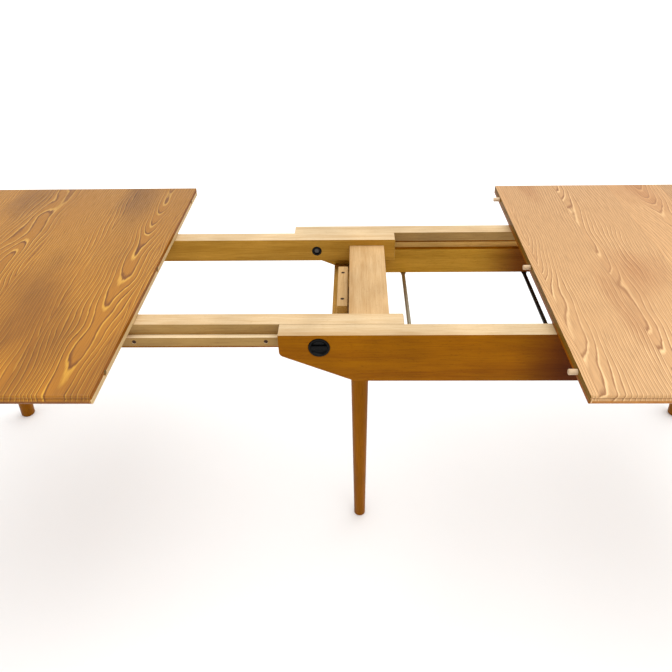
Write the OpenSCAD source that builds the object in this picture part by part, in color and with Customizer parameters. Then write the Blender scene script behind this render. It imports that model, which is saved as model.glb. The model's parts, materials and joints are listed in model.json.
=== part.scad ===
// Extending dining table, shown pulled open and ready for its leaf.
// Origin: on the floor under the centre of the open table.
// +X points to the half that carries the outer rails, +Y to the back, +Z up.

/* [Table top] */
// Depth of the top, front to back
top_depth = 800; // [700:1:980]
// Length of each half of the top
half_len = 669; // [650:1:900]
// Thickness of the top
top_t = 18; // [16:0.5:26]
// Radius of the outer corners of the top
corner_r = 36; // [20:1:60]
// Gap between the two halves when the table is open
open_gap = 742; // [600:1:750]
// Gap left between the two halves when the table is closed
closed_gap = 0.3; // [0.3:0.1:1]
// How far the upper bead of the moulded edge runs in from the edge
bead_in = 5; // [4:0.5:8]
// Height of the upper bead of the moulded edge
bead_h = 5; // [4:0.5:6]
// Depth of the crease between the two beads
crease_d = 1.2; // [0.6:0.1:2]

/* [Height] */
// Height of the table
table_h = 737; // [700:1:900]

/* [Outer rails] */
// Clear width between the outer rails, where a folded leaf is kept
bay_w = 362; // [300:1:440]
// Thickness of an outer rail
outer_rail_t = 34; // [32:0.5:42]
// Height of an outer rail where the leaf rests on it
outer_rail_h = 102; // [95:1:125]
// How far the outer rails reach past the table's centre
outer_reach = 110; // [90:1:130]
// Height of an outer rail's square end, down to the slope
nose_h = 44; // [42:0.5:60]
// Radius of the corner where the square end turns into the slope
nose_r = 10; // [5:0.5:14]
// Angle of the sloping underside
slope_deg = 23.5; // [18:0.5:40]

/* [Slide rails] */
// Thickness of a slide rail
slide_rail_t = 33.5; // [28:0.5:42]
// Height of a slide rail
slide_rail_h = 51; // [46:0.5:60]
// How far the slide rails reach past the table's centre
slide_reach = 112.5; // [90:0.5:130]
// Gap between a slide rail and the outer rail beside it
side_gap = 0.5; // [0.3:0.1:1.5]
// How far the rails sit below the half of the top that slides over them
slide_relief = 1.7; // [0.5:0.1:3]

/* [Runners] */
// Height of a runner strip
runner_h = 19.5; // [16:0.5:24]
// How far a runner strip stands out from its slide rail
runner_d = 10; // [8:0.5:12]
// Distance from the top of the slide rail down to the runner
runner_drop = 21.3; // [18:0.1:24]
// Gap round the runner in its groove
groove_gap = 0.5; // [0.3:0.1:1]
// Space between the screws of a runner
runner_screw_pitch = 238; // [180:1:260]
// First runner screw, from the slide rail's free end
runner_screw_end = 9.5; // [8:0.5:50]

/* [Tie plank and stop] */
// Width of the plank that ties the slide rails
plank_w = 75; // [60:1:95]
// Thickness of the plank
plank_t = 25; // [20:0.5:30]
// Distance from the top of the slide rails down to the plank
plank_drop = 14; // [8:0.5:16]
// Distance from the slide rails' free ends to the plank
plank_end = 24.5; // [16:0.5:40]
// Width of the stop block along the table
stop_w = 20.5; // [14:0.5:26]
// Length of the stop block across the table
stop_len = 155; // [100:1:240]
// Distance from the top of the rails down to the stop block
stop_drop = 27.5; // [20:0.5:32]
// Gap between the plank and the stop block as shown
stop_gap = 3; // [1:0.5:6]
// How far in from the stop block's ends its screws stand
stop_screw_in = 26; // [12:1:40]

/* [Centre bearer and leg] */
// Width of the bearer along the table
bearer_w = 113; // [95:1:140]
// How far the bearer runs past the stop block
bearer_lead = 11.7; // [5:0.1:20]
// Thickness of the bearer
bearer_t = 23.5; // [18:0.5:30]
// Radius of the centre leg under the bearer
centre_leg_r = 21; // [16:0.5:28]
// Radius of the centre leg at the floor
centre_foot_r = 14; // [12:0.5:24]

/* [End legs] */
// Radius of an end leg under its bearer
leg_r = 27; // [20:0.5:30]
// Radius of an end leg at the floor
foot_r = 19.5; // [14:0.5:24]
// Distance from the end of the top in to the middle of a foot
foot_in_x = 35; // [25:1:80]
// Distance from the front or back of the top in to the middle of a foot
foot_in_y = 15; // [10:1:60]
// Lean of an end leg along the table
splay_x = 6; // [0:0.5:9]
// Lean of an end leg across the table
splay_y = 4; // [0:0.5:8]
// Radius of the small round at the bottom of each leg
foot_edge = 3; // [1:0.5:5]

/* [End bearers] */
// Width of an end bearer along the table
end_bearer_w = 70; // [64:1:90]
// Height of an end bearer
end_bearer_h = 45; // [38:0.5:60]
// How far an end bearer runs past the middle of a leg's top
end_bearer_past = 38; // [32:1:60]

/* [Leaf rods] */
// Diameter of a steel rod that carries the stored leaf
rod_d = 8.4; // [6:0.1:12]
// Distance of the first rod from the table's centre
rod_first = 136; // [120:1:200]
// Space between the rods
rod_pitch = 278.5; // [200:0.5:290]
// Length of the flattened end of a rod
rod_tab = 30; // [24:1:34]
// Width of the flattened end of a rod
rod_tab_w = 14; // [12:0.5:18]
// Thickness of the flattened end of a rod
rod_tab_t = 3; // [2:0.5:4]

/* [Leaf dowels] */
// Diameter of the dowels that hold the leaf level
dowel_d = 10; // [8:0.5:11]
// How far a dowel stands out of the edge
dowel_out = 14; // [10:0.5:20]
// How deep a dowel is glued in
dowel_in = 22; // [15:1:40]
// Distance of the outer dowels from the table's centre line
dowel_y = 332; // [240:1:340]
// Depth of a dowel's axis below the top
dowel_z = 8.5; // [7.5:0.5:12]
// How much slimmer than its glued part a dowel's free end is, in radius
dowel_ease = 0.2; // [0.1:0.05:0.5]
// Gap round a dowel in the hole that it enters
dowel_gap = 0.3; // [0.2:0.05:0.5]
// Depth of the shallowest leaf hole past the tip of its dowel
hole_spare = 2; // [1:0.5:4]
// How much deeper each leaf hole is than the one behind it
hole_step = 1; // [0.5:0.5:2]

/* [Rail locks] */
// Radius of a lock knob
knob_r = 18.8; // [15:0.1:20]
// Thickness of a lock knob
knob_t = 8; // [6:0.5:10]
// How far a knob stands out of its recess
knob_out = 1; // [0:0.5:3]
// Gap round a knob in its recess
knob_gap = 0.5; // [0.3:0.1:1]
// Distance of the knobs from the table's centre, on the outer rails' free ends
knob_x = 38.5; // [30:0.5:60]
// Depth of the lock's axis below the top of the rails
lock_drop = 27; // [24:0.5:30]
// Radius of a lock's steel stud
stud_r = 4; // [3:0.5:5]
// How far the table closes to lock with its leaf in
leaf_take_up = 21; // [15:0.5:30]
// Radius of the black collar in a slide rail
collar_r = 10.6; // [9:0.1:12]
// Radius of the steel bush in a collar
bush_r = 6.5; // [6:0.1:7.5]
// Depth of the closed end of a bush
bush_floor = 6; // [3:0.5:12]

/* [Fixings] */
// Gap round the shank of a screw or bolt
shank_gap = 0.1; // [0.05:0.05:0.5]
// Gap round a glued dowel
glue_gap = 0.05; // [0.02:0.01:0.1]
// Radius of the wood screws that hold the tops
top_screw_r = 2.5; // [2:0.1:3]
// Depth of a top screw in the top
top_screw_bite = 12; // [8:0.5:13]
// Length of a top screw under its head
top_screw_len = 40; // [36:1:45]
// Distance of the outer screws from the ends of the row along a rail
top_screw_in = 70; // [40:1:100]
// How deep a rod's or the stop block's screws go into the wood
screw_bite = 15; // [10:1:18]

/* [Hidden] */

$fn = 48;
eps = 0.01;

// Colours
c_left_top = "#a9661f";
c_right_top = "#dcab72";
c_rail = "#b0772a";
c_beech = "#e6c48c";
c_leg = "#a8641f";
c_steel = "#8f8a7a";
c_black = "#17171a";

// Levels
top_under = table_h - top_t;
rail_top = top_under - slide_relief;
rail_under = rail_top - outer_rail_h;
slide_under = rail_top - slide_rail_h;
runner_top = rail_top - runner_drop;
runner_under = runner_top - runner_h;
runner_mid = (runner_top + runner_under) / 2;
plank_top = rail_top - plank_drop;
bearer_top = rail_under + bearer_t;
stop_h = rail_top - stop_drop - bearer_top;
end_under = top_under - end_bearer_h;
lock_z = rail_top - lock_drop;
dowel_level = table_h - dowel_z;

// Places across the table
outer_in = bay_w / 2;
outer_out = outer_in + outer_rail_t;
slide_out = outer_in - side_gap;
slide_in = slide_out - slide_rail_t;
runner_out = slide_out + runner_d;
groove_floor = runner_out + groove_gap;

// Length of groove left beyond the runner's end, and how far the runner stops short of the end bearer
groove_spare = 10;
runner_short = 12;

// Places along the table
inner_edge = open_gap / 2;
outer_end = inner_edge + half_len;
travel = open_gap - closed_gap;
foot_x = outer_end - foot_in_x;
foot_y = top_depth / 2 - foot_in_y;
leg_top_x = foot_x - end_under * tan(splay_x);
leg_top_y = foot_y - end_under * tan(splay_y);
end_in = leg_top_x - end_bearer_w / 2;
end_out = leg_top_x + end_bearer_w / 2;
plank_right = slide_reach - plank_end;
plank_left = plank_right - plank_w;
stop_right = plank_left - stop_gap;
stop_left = stop_right - stop_w;
bearer_left = stop_left - bearer_lead;
bearer_mid = bearer_left + bearer_w / 2;
groove_end = slide_reach + travel + groove_spare;
runner_start = end_in - runner_short;
leaf_lock_x = -knob_x - leaf_take_up;
closed_lock_x = -knob_x - travel;

// Screws, bolts and dowels
rod_count = 3;
pan_r = 5;
pan_h = 3;
pan_room = 0.5;
csk_r = 4;
csk_h = 3;
small_screw_r = 2;
bolt_r = 3;
bolt_head_r = 6.5;
bolt_head_h = 4;
bolt_sink = 8;
bolt_in_rail = 36;
nut_r = 5;
nut_from_end = 30;
nut_h = 28;
centre_bolt_sink = 8;
centre_bolt_head_r = 10;
centre_bolt_head_h = 6;
leg_stud_r = 5;
leg_stud_up = 30;
leg_stud_down = 55;
joint_dowel_r = 5;
joint_dowel_half = 20;
screw_wall = 4;
top_screw_y = groove_floor + pan_r + pan_room + screw_wall;
bolt_z = (top_under + end_under) / 2;

// ---------- shapes used more than once ----------

// Points of the moulded edge of a plate that runs from 0 to w, from underneath to the top
function roll_h() = top_t - bead_h;
function edge_points(w) = concat(
  [for (a = [-90:15:45]) [w - roll_h() / 2 * (1 - cos(a)), roll_h() / 2 * (1 + sin(a))]],
  [for (a = [90:-18:0]) [w - bead_in + (bead_in - crease_d) * sin(a), table_lip(a)]]
);
function table_lip(a) = top_t - bead_h * (1 - cos(a));
function mirrored(points) = [for (i = [len(points) - 1:-1:0]) [-points[i][0], points[i][1]]];

// One half of the top, its straight edge at x = 0 and its outer end at x = half_len
module half_plate() {
  w = top_depth / 2;
  straight = half_len - corner_r;
  translate([straight, 0, 0])
    rotate([90, 0, -90])
      linear_extrude(straight)
        polygon(concat(edge_points(w), mirrored(edge_points(w))));
  translate([straight, w - corner_r, 0])
    rotate([90, 0, 0])
      linear_extrude(2 * (w - corner_r))
        polygon(concat([[-eps, 0]], edge_points(corner_r), [[-eps, top_t]]));
  for (side = [0, 1])
    mirror([0, side, 0])
      translate([straight, w - corner_r, 0])
        rotate_extrude(angle = 90)
          polygon(concat([[0, 0]], edge_points(corner_r), [[0, top_t]]));
}

// A rod along +Y from the origin
module y_rod(r, length) {
  rotate([-90, 0, 0]) cylinder(r = r, h = length);
}

// A rod along +X from the origin
module x_rod(r, length) {
  rotate([0, 90, 0]) cylinder(r = r, h = length);
}

// Puts its children on the back rails, and mirrored on the front rails
module both_sides() {
  for (side = [0, 1])
    mirror([0, side, 0]) children();
}

// A pan-head screw pointing up, its head's seat at z = 0
module pan_screw(r, length, gap = 0) {
  cylinder(r = r + gap, h = length);
  translate([0, 0, -pan_h]) cylinder(r = pan_r, h = pan_h);
}

// A countersunk screw pointing down, its head's face at z = 0
module csk_screw(length, gap = 0) {
  translate([0, 0, -length]) cylinder(r = small_screw_r + gap, h = length);
  translate([0, 0, -csk_h]) cylinder(r1 = small_screw_r, r2 = csk_r, h = csk_h);
}

// Rounded outline of an outer rail, seen from the front, from its free end to its fixed end
module outer_rail_outline() {
  corner_z = rail_top - nose_h;
  arc_x = -outer_reach + nose_r;
  arc_z = corner_z - nose_r * tan(slope_deg) + nose_r / cos(slope_deg);
  slope_run = (corner_z - rail_under) / tan(slope_deg);
  polygon(concat(
    [[-outer_reach, rail_top]],
    [for (a = [0:1:6])
      [arc_x - nose_r * cos(a * (90 - slope_deg) / 6), arc_z - nose_r * sin(a * (90 - slope_deg) / 6)]],
    [[-outer_reach + slope_run, rail_under]],
    [[end_in, rail_under]],
    [[end_in, top_under]],
    [[inner_edge, top_under]],
    [[inner_edge, rail_top]]
  ));
}

// Where the top screws go along each half, from the table's centre
top_screw_first = inner_edge + top_screw_in;
top_screw_last = end_in - top_screw_in - nut_from_end;
function top_screw_xs() = [for (i = [0:2]) top_screw_first + i * (top_screw_last - top_screw_first) / 2];
top_screw_seat = top_under + top_screw_bite - top_screw_len;

// Where the leaf rods go
function rod_x(i) = rod_first + i * rod_pitch;
rod_screw_y = outer_in + outer_rail_t / 2;

// Where the dowels of the centre bearer and the tie plank go
dowel_in_edge = 15;
bearer_dowel_pitch = 30;
bearer_dowel_last = bearer_left + bearer_w - dowel_in_edge;
bearer_dowel_xs = [bearer_dowel_last - bearer_dowel_pitch, bearer_dowel_last];
plank_dowel_xs = [plank_left + dowel_in_edge, plank_right - dowel_in_edge];
bearer_dowel_z = rail_under + bearer_t / 2;
plank_dowel_z = plank_top - plank_t / 2;

// ---------- right half ----------

module right_top() {
  color(c_right_top)
  difference() {
    translate([inner_edge, 0, top_under]) half_plate();
    for (y = [-dowel_y, 0, dowel_y])
      translate([inner_edge - eps, y, dowel_level]) x_rod(dowel_d / 2 + glue_gap, dowel_in + eps);
    both_sides() rail_top_screw_holes(top_screw_y);
    both_sides() end_screw_holes();
  }
}

// Three dowels with chamfered tips, in the straight edge of the right half
module leaf_dowels() {
  tip = 1;
  free_r = dowel_d / 2 - dowel_ease;
  color(c_beech)
  for (y = [-dowel_y, 0, dowel_y])
    translate([inner_edge, y, dowel_level]) {
      x_rod(dowel_d / 2, dowel_in);
      translate([tip - dowel_out, 0, 0]) x_rod(free_r, dowel_out - tip);
      translate([-dowel_out, 0, 0]) rotate([0, 90, 0]) cylinder(r1 = free_r - tip, r2 = free_r, h = tip);
    }
}

// Holes in the top and the rail for the screws that go up through a rail at this distance
module rail_top_screw_holes(y) {
  for (x = top_screw_xs())
    translate([x, y, top_screw_seat]) cylinder(r = top_screw_r + shank_gap, h = top_screw_len);
}

// Sunk holes for the heads of those screws, from a rail's underside
module rail_top_screw_sinks(y, under) {
  for (x = top_screw_xs())
    translate([x, y, under - eps]) cylinder(r = pan_r + pan_room, h = top_screw_seat - under + eps);
}

// Places of the screws that hold an end bearer to its top
module at_end_screws() {
  for (y = [top_screw_in, leg_top_y - top_screw_in])
    translate([leg_top_x, y, top_screw_seat]) children();
}

module end_screw_holes() {
  at_end_screws() cylinder(r = top_screw_r + shank_gap, h = top_screw_len);
}

// The outer rail at the back
module outer_rail() {
  difference() {
    translate([0, outer_out, 0])
      rotate([90, 0, 0])
        linear_extrude(outer_rail_t) outer_rail_outline();
    // groove for the runner
    translate([-outer_reach - eps, outer_in - eps, runner_under - groove_gap])
      cube([groove_end + outer_reach + eps, groove_floor - outer_in + eps, runner_h + 2 * groove_gap]);
    // recess and hole for the lock
    translate([-knob_x, outer_out + knob_out - knob_t - knob_gap, lock_z]) y_rod(knob_r + knob_gap, knob_t);
    translate([-knob_x, outer_in, lock_z]) y_rod(stud_r + knob_gap, outer_rail_t);
    // joints
    for (x = bearer_dowel_xs)
      translate([x, outer_in - eps, bearer_dowel_z])
        y_rod(joint_dowel_r + glue_gap, joint_dowel_half + eps);
    rail_end_bores(outer_in + outer_rail_t / 2);
    rail_top_screw_holes(top_screw_y);
    rail_top_screw_sinks(top_screw_y, rail_under);
    for (i = [0:rod_count - 1])
      translate([rod_x(i), rod_screw_y, rail_under - eps])
        cylinder(r = small_screw_r + shank_gap, h = screw_bite + eps);
  }
}

// Bores in a rail's fixed end for the bolt and its barrel nut
module rail_end_bores(y) {
  translate([end_in - bolt_in_rail, y, bolt_z]) x_rod(bolt_r + shank_gap, bolt_in_rail + eps);
  translate([end_in - nut_from_end, y, top_under - nut_h]) cylinder(r = nut_r + shank_gap, h = nut_h + eps);
}

module rail_bolt(y) {
  length = bolt_in_rail + end_bearer_w - bolt_sink;
  translate([end_in - bolt_in_rail, y, bolt_z]) x_rod(bolt_r, length);
  translate([end_out - bolt_sink, y, bolt_z]) x_rod(bolt_head_r, bolt_head_h);
}

module barrel_nut(y) {
  translate([end_in - nut_from_end, y, 0])
    difference() {
      translate([0, 0, top_under - nut_h]) cylinder(r = nut_r, h = nut_h - 1);
      translate([-nut_r - 1, 0, bolt_z]) x_rod(bolt_r + shank_gap, 2 * nut_r + 2);
    }
}

module front_outer_rail() {
  color(c_rail) mirror([0, 1, 0]) outer_rail();
}

module back_outer_rail() {
  color(c_rail) outer_rail();
}

// An end bearer on the +X side; rail_y is where its two rail bolts pass
module end_bearer(rail_y) {
  half = leg_top_y + end_bearer_past;
  difference() {
    translate([end_in, -half, end_under]) cube([end_bearer_w, 2 * half, end_bearer_h]);
    both_sides() {
      translate([end_in - eps, rail_y, bolt_z]) x_rod(bolt_r + shank_gap, end_bearer_w + 2 * eps);
      translate([end_out - bolt_sink, rail_y, bolt_z]) x_rod(bolt_head_r + pan_room, bolt_sink + eps);
      end_screw_holes();
      at_end_screws()
        translate([0, 0, end_under - top_screw_seat - eps])
          cylinder(r = pan_r + pan_room, h = top_screw_seat - end_under + eps);
      leg_stud(shank_gap);
    }
  }
}

// The upright stud that holds the back leg to its bearer, or with a gap the bore for it
module leg_stud(gap = 0) {
  translate([leg_top_x, leg_top_y, end_under - leg_stud_down])
    cylinder(r = leg_stud_r + gap, h = leg_stud_down + leg_stud_up);
}

// A thin level disc, a slice of a leg
module leg_slice(x, y, z, r) {
  translate([x, y, z]) cylinder(r = r, h = eps);
}

// The back leg of an end, leaning out both ways, level at the floor and under its bearer
module end_leg() {
  difference() {
    hull() {
      leg_slice(foot_x, foot_y, 0, foot_r - foot_edge);
      leg_slice(foot_x - foot_edge * tan(splay_x), foot_y - foot_edge * tan(splay_y), foot_edge, foot_r);
      leg_slice(leg_top_x, leg_top_y, end_under - eps, leg_r);
    }
    leg_stud(shank_gap);
  }
}

module right_end_bearer() {
  color(c_rail) end_bearer(outer_in + outer_rail_t / 2);
}

module right_rail_bolts() {
  color(c_steel) both_sides() rail_bolt(outer_in + outer_rail_t / 2);
}

module right_barrel_nuts() {
  color(c_steel) both_sides() barrel_nut(outer_in + outer_rail_t / 2);
}

// Every screw that holds one half of the top, rail_y being where its rails are screwed
module top_screws(rail_y) {
  both_sides() {
    for (x = top_screw_xs())
      translate([x, rail_y, top_screw_seat]) pan_screw(top_screw_r, top_screw_len);
    at_end_screws() pan_screw(top_screw_r, top_screw_len);
  }
}

module right_top_screws() {
  color(c_steel) top_screws(top_screw_y);
}

module front_right_leg() {
  color(c_leg) mirror([0, 1, 0]) end_leg();
}

module back_right_leg() {
  color(c_leg) end_leg();
}

module right_leg_studs() {
  color(c_steel) both_sides() leg_stud();
}

module centre_bearer() {
  color(c_rail)
  difference() {
    translate([bearer_left, -outer_in, rail_under]) cube([bearer_w, bay_w, bearer_t]);
    both_sides()
      for (x = bearer_dowel_xs)
        translate([x, outer_in - joint_dowel_half, bearer_dowel_z])
          y_rod(joint_dowel_r + glue_gap, joint_dowel_half + eps);
    stop_screw_shanks(shank_gap);
    translate([bearer_mid, 0, rail_under - eps])
      cylinder(r = leg_stud_r + shank_gap, h = bearer_t + 2 * eps);
    translate([bearer_mid, 0, bearer_top - centre_bolt_sink])
      cylinder(r = centre_bolt_head_r + pan_room, h = centre_bolt_sink + eps);
  }
}

module centre_bearer_dowels() {
  color(c_beech)
  both_sides()
    for (x = bearer_dowel_xs)
      translate([x, outer_in - joint_dowel_half, bearer_dowel_z])
        y_rod(joint_dowel_r, 2 * joint_dowel_half);
}

// Places of the screws through the stop block, at its top face
module at_stop_screws() {
  both_sides()
    translate([(stop_left + stop_right) / 2, stop_len / 2 - stop_screw_in, bearer_top + stop_h])
      children();
}

module stop_screw_shanks(gap) {
  at_stop_screws()
    translate([0, 0, -stop_h - screw_bite])
      cylinder(r = small_screw_r + gap, h = screw_bite + eps);
}

module stop_block() {
  color(c_beech)
  difference() {
    translate([stop_left, -stop_len / 2, bearer_top]) cube([stop_w, stop_len, stop_h]);
    at_stop_screws() csk_screw(stop_h + eps, shank_gap);
  }
}

module stop_block_screws() {
  color(c_steel) at_stop_screws() csk_screw(stop_h + screw_bite);
}

module centre_leg() {
  color(c_leg)
  difference() {
    translate([bearer_mid, 0, 0]) {
      cylinder(r1 = centre_foot_r - foot_edge, r2 = centre_foot_r, h = foot_edge);
      translate([0, 0, foot_edge])
        cylinder(r1 = centre_foot_r, r2 = centre_leg_r, h = rail_under - foot_edge);
    }
    translate([bearer_mid, 0, rail_under - leg_stud_down])
      cylinder(r = leg_stud_r + shank_gap, h = leg_stud_down + eps);
  }
}

module centre_leg_bolt() {
  color(c_steel)
  translate([bearer_mid, 0, 0]) {
    translate([0, 0, rail_under - leg_stud_down])
      cylinder(r = leg_stud_r, h = leg_stud_down + bearer_t - centre_bolt_sink);
    translate([0, 0, bearer_top - centre_bolt_sink])
      cylinder(r = centre_bolt_head_r, h = centre_bolt_head_h);
  }
}

// A steel rod under the outer rails, with a flattened end screwed to each
module leaf_rod(i) {
  color(c_steel)
  difference() {
    union() {
      translate([rod_x(i), rod_short - outer_in, rail_under - rod_d / 2])
        y_rod(rod_d / 2, bay_w - 2 * rod_short);
      both_sides()
        translate([rod_x(i) - rod_tab_w / 2, outer_in - tab_lap, rail_under - rod_tab_t])
          cube([rod_tab_w, rod_tab, rod_tab_t]);
    }
    both_sides() at_rod_screw(i) csk_screw(rod_d, shank_gap);
  }
}

// How far a rod's round part stops short of the rails, and where its flattened end begins
rod_short = 4;
tab_lap = 6;

// Place of the screw through a rod's flattened end, pointing up into the rail
module at_rod_screw(i) {
  translate([rod_x(i), rod_screw_y, rail_under - rod_tab_t]) rotate([180, 0, 0]) children();
}

module inner_leaf_rod() {
  leaf_rod(0);
}

module middle_leaf_rod() {
  leaf_rod(1);
}

module outer_leaf_rod() {
  leaf_rod(2);
}

module leaf_rod_screws() {
  color(c_steel)
  both_sides()
    for (i = [0:rod_count - 1])
      at_rod_screw(i) csk_screw(rod_tab_t + screw_bite);
}

// ---------- rail locks, on the outer rails ----------

// A round knob set flush in the back rail, with a raised grip across its dished face
module lock_knob() {
  face = outer_out + knob_out;
  dish_r = knob_r - knob_rim;
  translate([-knob_x, 0, lock_z]) {
    difference() {
      translate([0, face - knob_t, 0]) y_rod(knob_r, knob_t);
      translate([0, face - dish_d, 0]) y_rod(dish_r, dish_d + eps);
    }
    translate([-dish_r - grip_lap, face - dish_d - grip_lap, -grip_h / 2])
      cube([2 * (dish_r + grip_lap), dish_d, grip_h]);
  }
}

// Rim and depth of the knob's dish, and the bar across it, lapped into the rim by grip_lap
knob_rim = 3.5;
dish_d = 3.5;
grip_h = 6;
grip_lap = 0.5;

module lock_stud() {
  length = outer_out + knob_out - knob_t - groove_floor;
  translate([-knob_x, groove_floor, lock_z]) y_rod(stud_r, length);
}

module front_lock_knob() {
  color(c_black) mirror([0, 1, 0]) lock_knob();
}

module front_lock_stud() {
  color(c_steel) mirror([0, 1, 0]) lock_stud();
}

module back_lock_knob() {
  color(c_black) lock_knob();
}

module back_lock_stud() {
  color(c_steel) lock_stud();
}

// ---------- left half ----------

module left_top() {
  color(c_left_top)
  mirror([1, 0, 0])
  difference() {
    translate([inner_edge, 0, top_under]) half_plate();
    for (i = [0:2])
      translate([inner_edge - eps, (1 - i) * dowel_y, dowel_level])
        x_rod(dowel_d / 2 + dowel_gap, dowel_out + hole_spare + i * hole_step + eps);
    both_sides() rail_top_screw_holes(slide_mid);
    both_sides() end_screw_holes();
  }
}
slide_mid = (slide_in + slide_out) / 2;

// Outline of a slide rail, seen from the front, drawn with its fixed end at +X
module slide_rail_outline() {
  polygon([
    [-slide_reach, slide_under],
    [end_in, slide_under],
    [end_in, top_under],
    [inner_edge, top_under],
    [inner_edge, rail_top],
    [-slide_reach + slide_nose, rail_top],
    [-slide_reach + 0.3 * slide_nose, rail_top - 0.3 * slide_nose],
    [-slide_reach, rail_top - slide_nose]
  ]);
}
slide_nose = 3;

// The slide rail at the back, drawn with its fixed end at +X
module slide_rail() {
  difference() {
    translate([0, slide_out, 0])
      rotate([90, 0, 0])
        linear_extrude(slide_rail_t) slide_rail_outline();
    at_locks() {
      translate([0, slide_in - eps, 0]) y_rod(collar_body_r, slide_rail_t + 2 * eps);
    }
    at_plank_dowels() y_rod(joint_dowel_r + glue_gap, joint_dowel_half + eps);
    at_runner_screws() csk_screw(runner_screw_len, shank_gap);
    rail_end_bores(slide_mid);
    rail_top_screw_holes(slide_mid);
    rail_top_screw_sinks(slide_mid, slide_under);
  }
}
collar_body_r = 8.5;
collar_flange = 1.5;
runner_screw_len = 30;

// Places of the lock collars, drawn with the fixed end at +X
module at_locks() {
  for (x = [leaf_lock_x, closed_lock_x])
    translate([-x, 0, lock_z]) children();
}

// Places of the tie plank's dowels on the back rail's inner face, drawn with the fixed end at +X
module at_plank_dowels() {
  for (x = plank_dowel_xs)
    translate([-x, slide_in - eps, plank_dowel_z]) children();
}

// Places of the runner's screws at its outer face, pointing in, drawn with the fixed end at +X
module at_runner_screws() {
  count = floor((runner_start + slide_reach - 2 * runner_screw_end) / runner_screw_pitch);
  for (i = [0:count])
    translate([-slide_reach + runner_screw_end + i * runner_screw_pitch, runner_out, runner_mid])
      rotate([-90, 0, 0]) children();
}

module runner() {
  difference() {
    translate([-slide_reach, slide_out, runner_under])
      cube([runner_start + slide_reach, runner_d, runner_h]);
    at_locks() translate([0, slide_out - eps, 0]) y_rod(stud_r + knob_gap, runner_d + 2 * eps);
    at_runner_screws() csk_screw(runner_screw_len, shank_gap);
  }
}

module front_slide_rail() {
  color(c_beech) rotate([0, 0, 180]) slide_rail();
}

module back_slide_rail() {
  color(c_beech) mirror([1, 0, 0]) slide_rail();
}

module front_runner() {
  color(c_beech) rotate([0, 0, 180]) runner();
}

module back_runner() {
  color(c_beech) mirror([1, 0, 0]) runner();
}

module runner_screws() {
  color(c_steel)
  mirror([1, 0, 0]) both_sides() at_runner_screws() csk_screw(runner_screw_len);
}

module tie_plank() {
  color(c_beech)
  difference() {
    translate([plank_left, -slide_in, plank_top - plank_t]) cube([plank_w, 2 * slide_in, plank_t]);
    mirror([1, 0, 0]) both_sides()
      at_plank_dowels() translate([0, -joint_dowel_half, 0])
        y_rod(joint_dowel_r + glue_gap, joint_dowel_half + 2 * eps);
  }
}

module tie_plank_dowels() {
  color(c_beech)
  mirror([1, 0, 0]) both_sides()
    at_plank_dowels() translate([0, eps - joint_dowel_half, 0]) y_rod(joint_dowel_r, 2 * joint_dowel_half);
}

// Black sleeves through the slide rails, with a flange on the inner face
module lock_collars() {
  color(c_black)
  mirror([1, 0, 0]) both_sides() at_locks()
    difference() {
      union() {
        translate([0, slide_in, 0]) y_rod(collar_body_r, slide_rail_t);
        translate([0, slide_in - collar_flange, 0]) y_rod(collar_r, collar_flange);
      }
      translate([0, slide_in - collar_flange - eps, 0])
        y_rod(bush_r, slide_rail_t + collar_flange + 2 * eps);
    }
}

// Blind steel bushes in the collars, open towards the lock studs
module lock_bushes() {
  color(c_steel)
  mirror([1, 0, 0]) both_sides() at_locks()
    difference() {
      translate([0, slide_in - collar_flange, 0]) y_rod(bush_r, slide_rail_t + collar_flange);
      translate([0, slide_in + bush_floor, 0]) y_rod(stud_r + knob_gap, slide_rail_t);
    }
}

module left_end_bearer() {
  color(c_rail) mirror([1, 0, 0]) end_bearer(slide_mid);
}

module left_rail_bolts() {
  color(c_steel) mirror([1, 0, 0]) both_sides() rail_bolt(slide_mid);
}

module left_barrel_nuts() {
  color(c_steel) mirror([1, 0, 0]) both_sides() barrel_nut(slide_mid);
}

module left_top_screws() {
  color(c_steel) mirror([1, 0, 0]) top_screws(slide_mid);
}

module front_left_leg() {
  color(c_leg) rotate([0, 0, 180]) end_leg();
}

module back_left_leg() {
  color(c_leg) mirror([1, 0, 0]) end_leg();
}

module left_leg_studs() {
  color(c_steel) mirror([1, 0, 0]) both_sides() leg_stud();
}

left_top();
right_top();
leaf_dowels();
front_outer_rail();
back_outer_rail();
right_end_bearer();
right_rail_bolts();
right_barrel_nuts();
right_top_screws();
front_right_leg();
back_right_leg();
right_leg_studs();
centre_bearer();
centre_bearer_dowels();
stop_block();
stop_block_screws();
centre_leg();
centre_leg_bolt();
inner_leaf_rod();
middle_leaf_rod();
outer_leaf_rod();
leaf_rod_screws();
front_slide_rail();
back_slide_rail();
front_runner();
back_runner();
runner_screws();
tie_plank();
tie_plank_dowels();
lock_collars();
lock_bushes();
left_end_bearer();
left_rail_bolts();
left_barrel_nuts();
left_top_screws();
front_left_leg();
back_left_leg();
left_leg_studs();
front_lock_knob();
front_lock_stud();
back_lock_knob();
back_lock_stud();
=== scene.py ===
# %% [markdown]
# # An extending dining table
#
# The table is pulled open, with a gap for a leaf between its two halves. Everything that moves or fits
# was designed elsewhere and comes in as a frame of plain parts. Here each part that shows gets the shape
# of a piece of joinery, with moulded edges, eased arrises, bored holes and screw heads, and each gets the
# finish of its real material. The frame says where every piece goes, so no place is guessed.

# %% Load the frame
import json
import math

import bmesh
import bpy
from mathutils import Euler, Matrix, Vector


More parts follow.
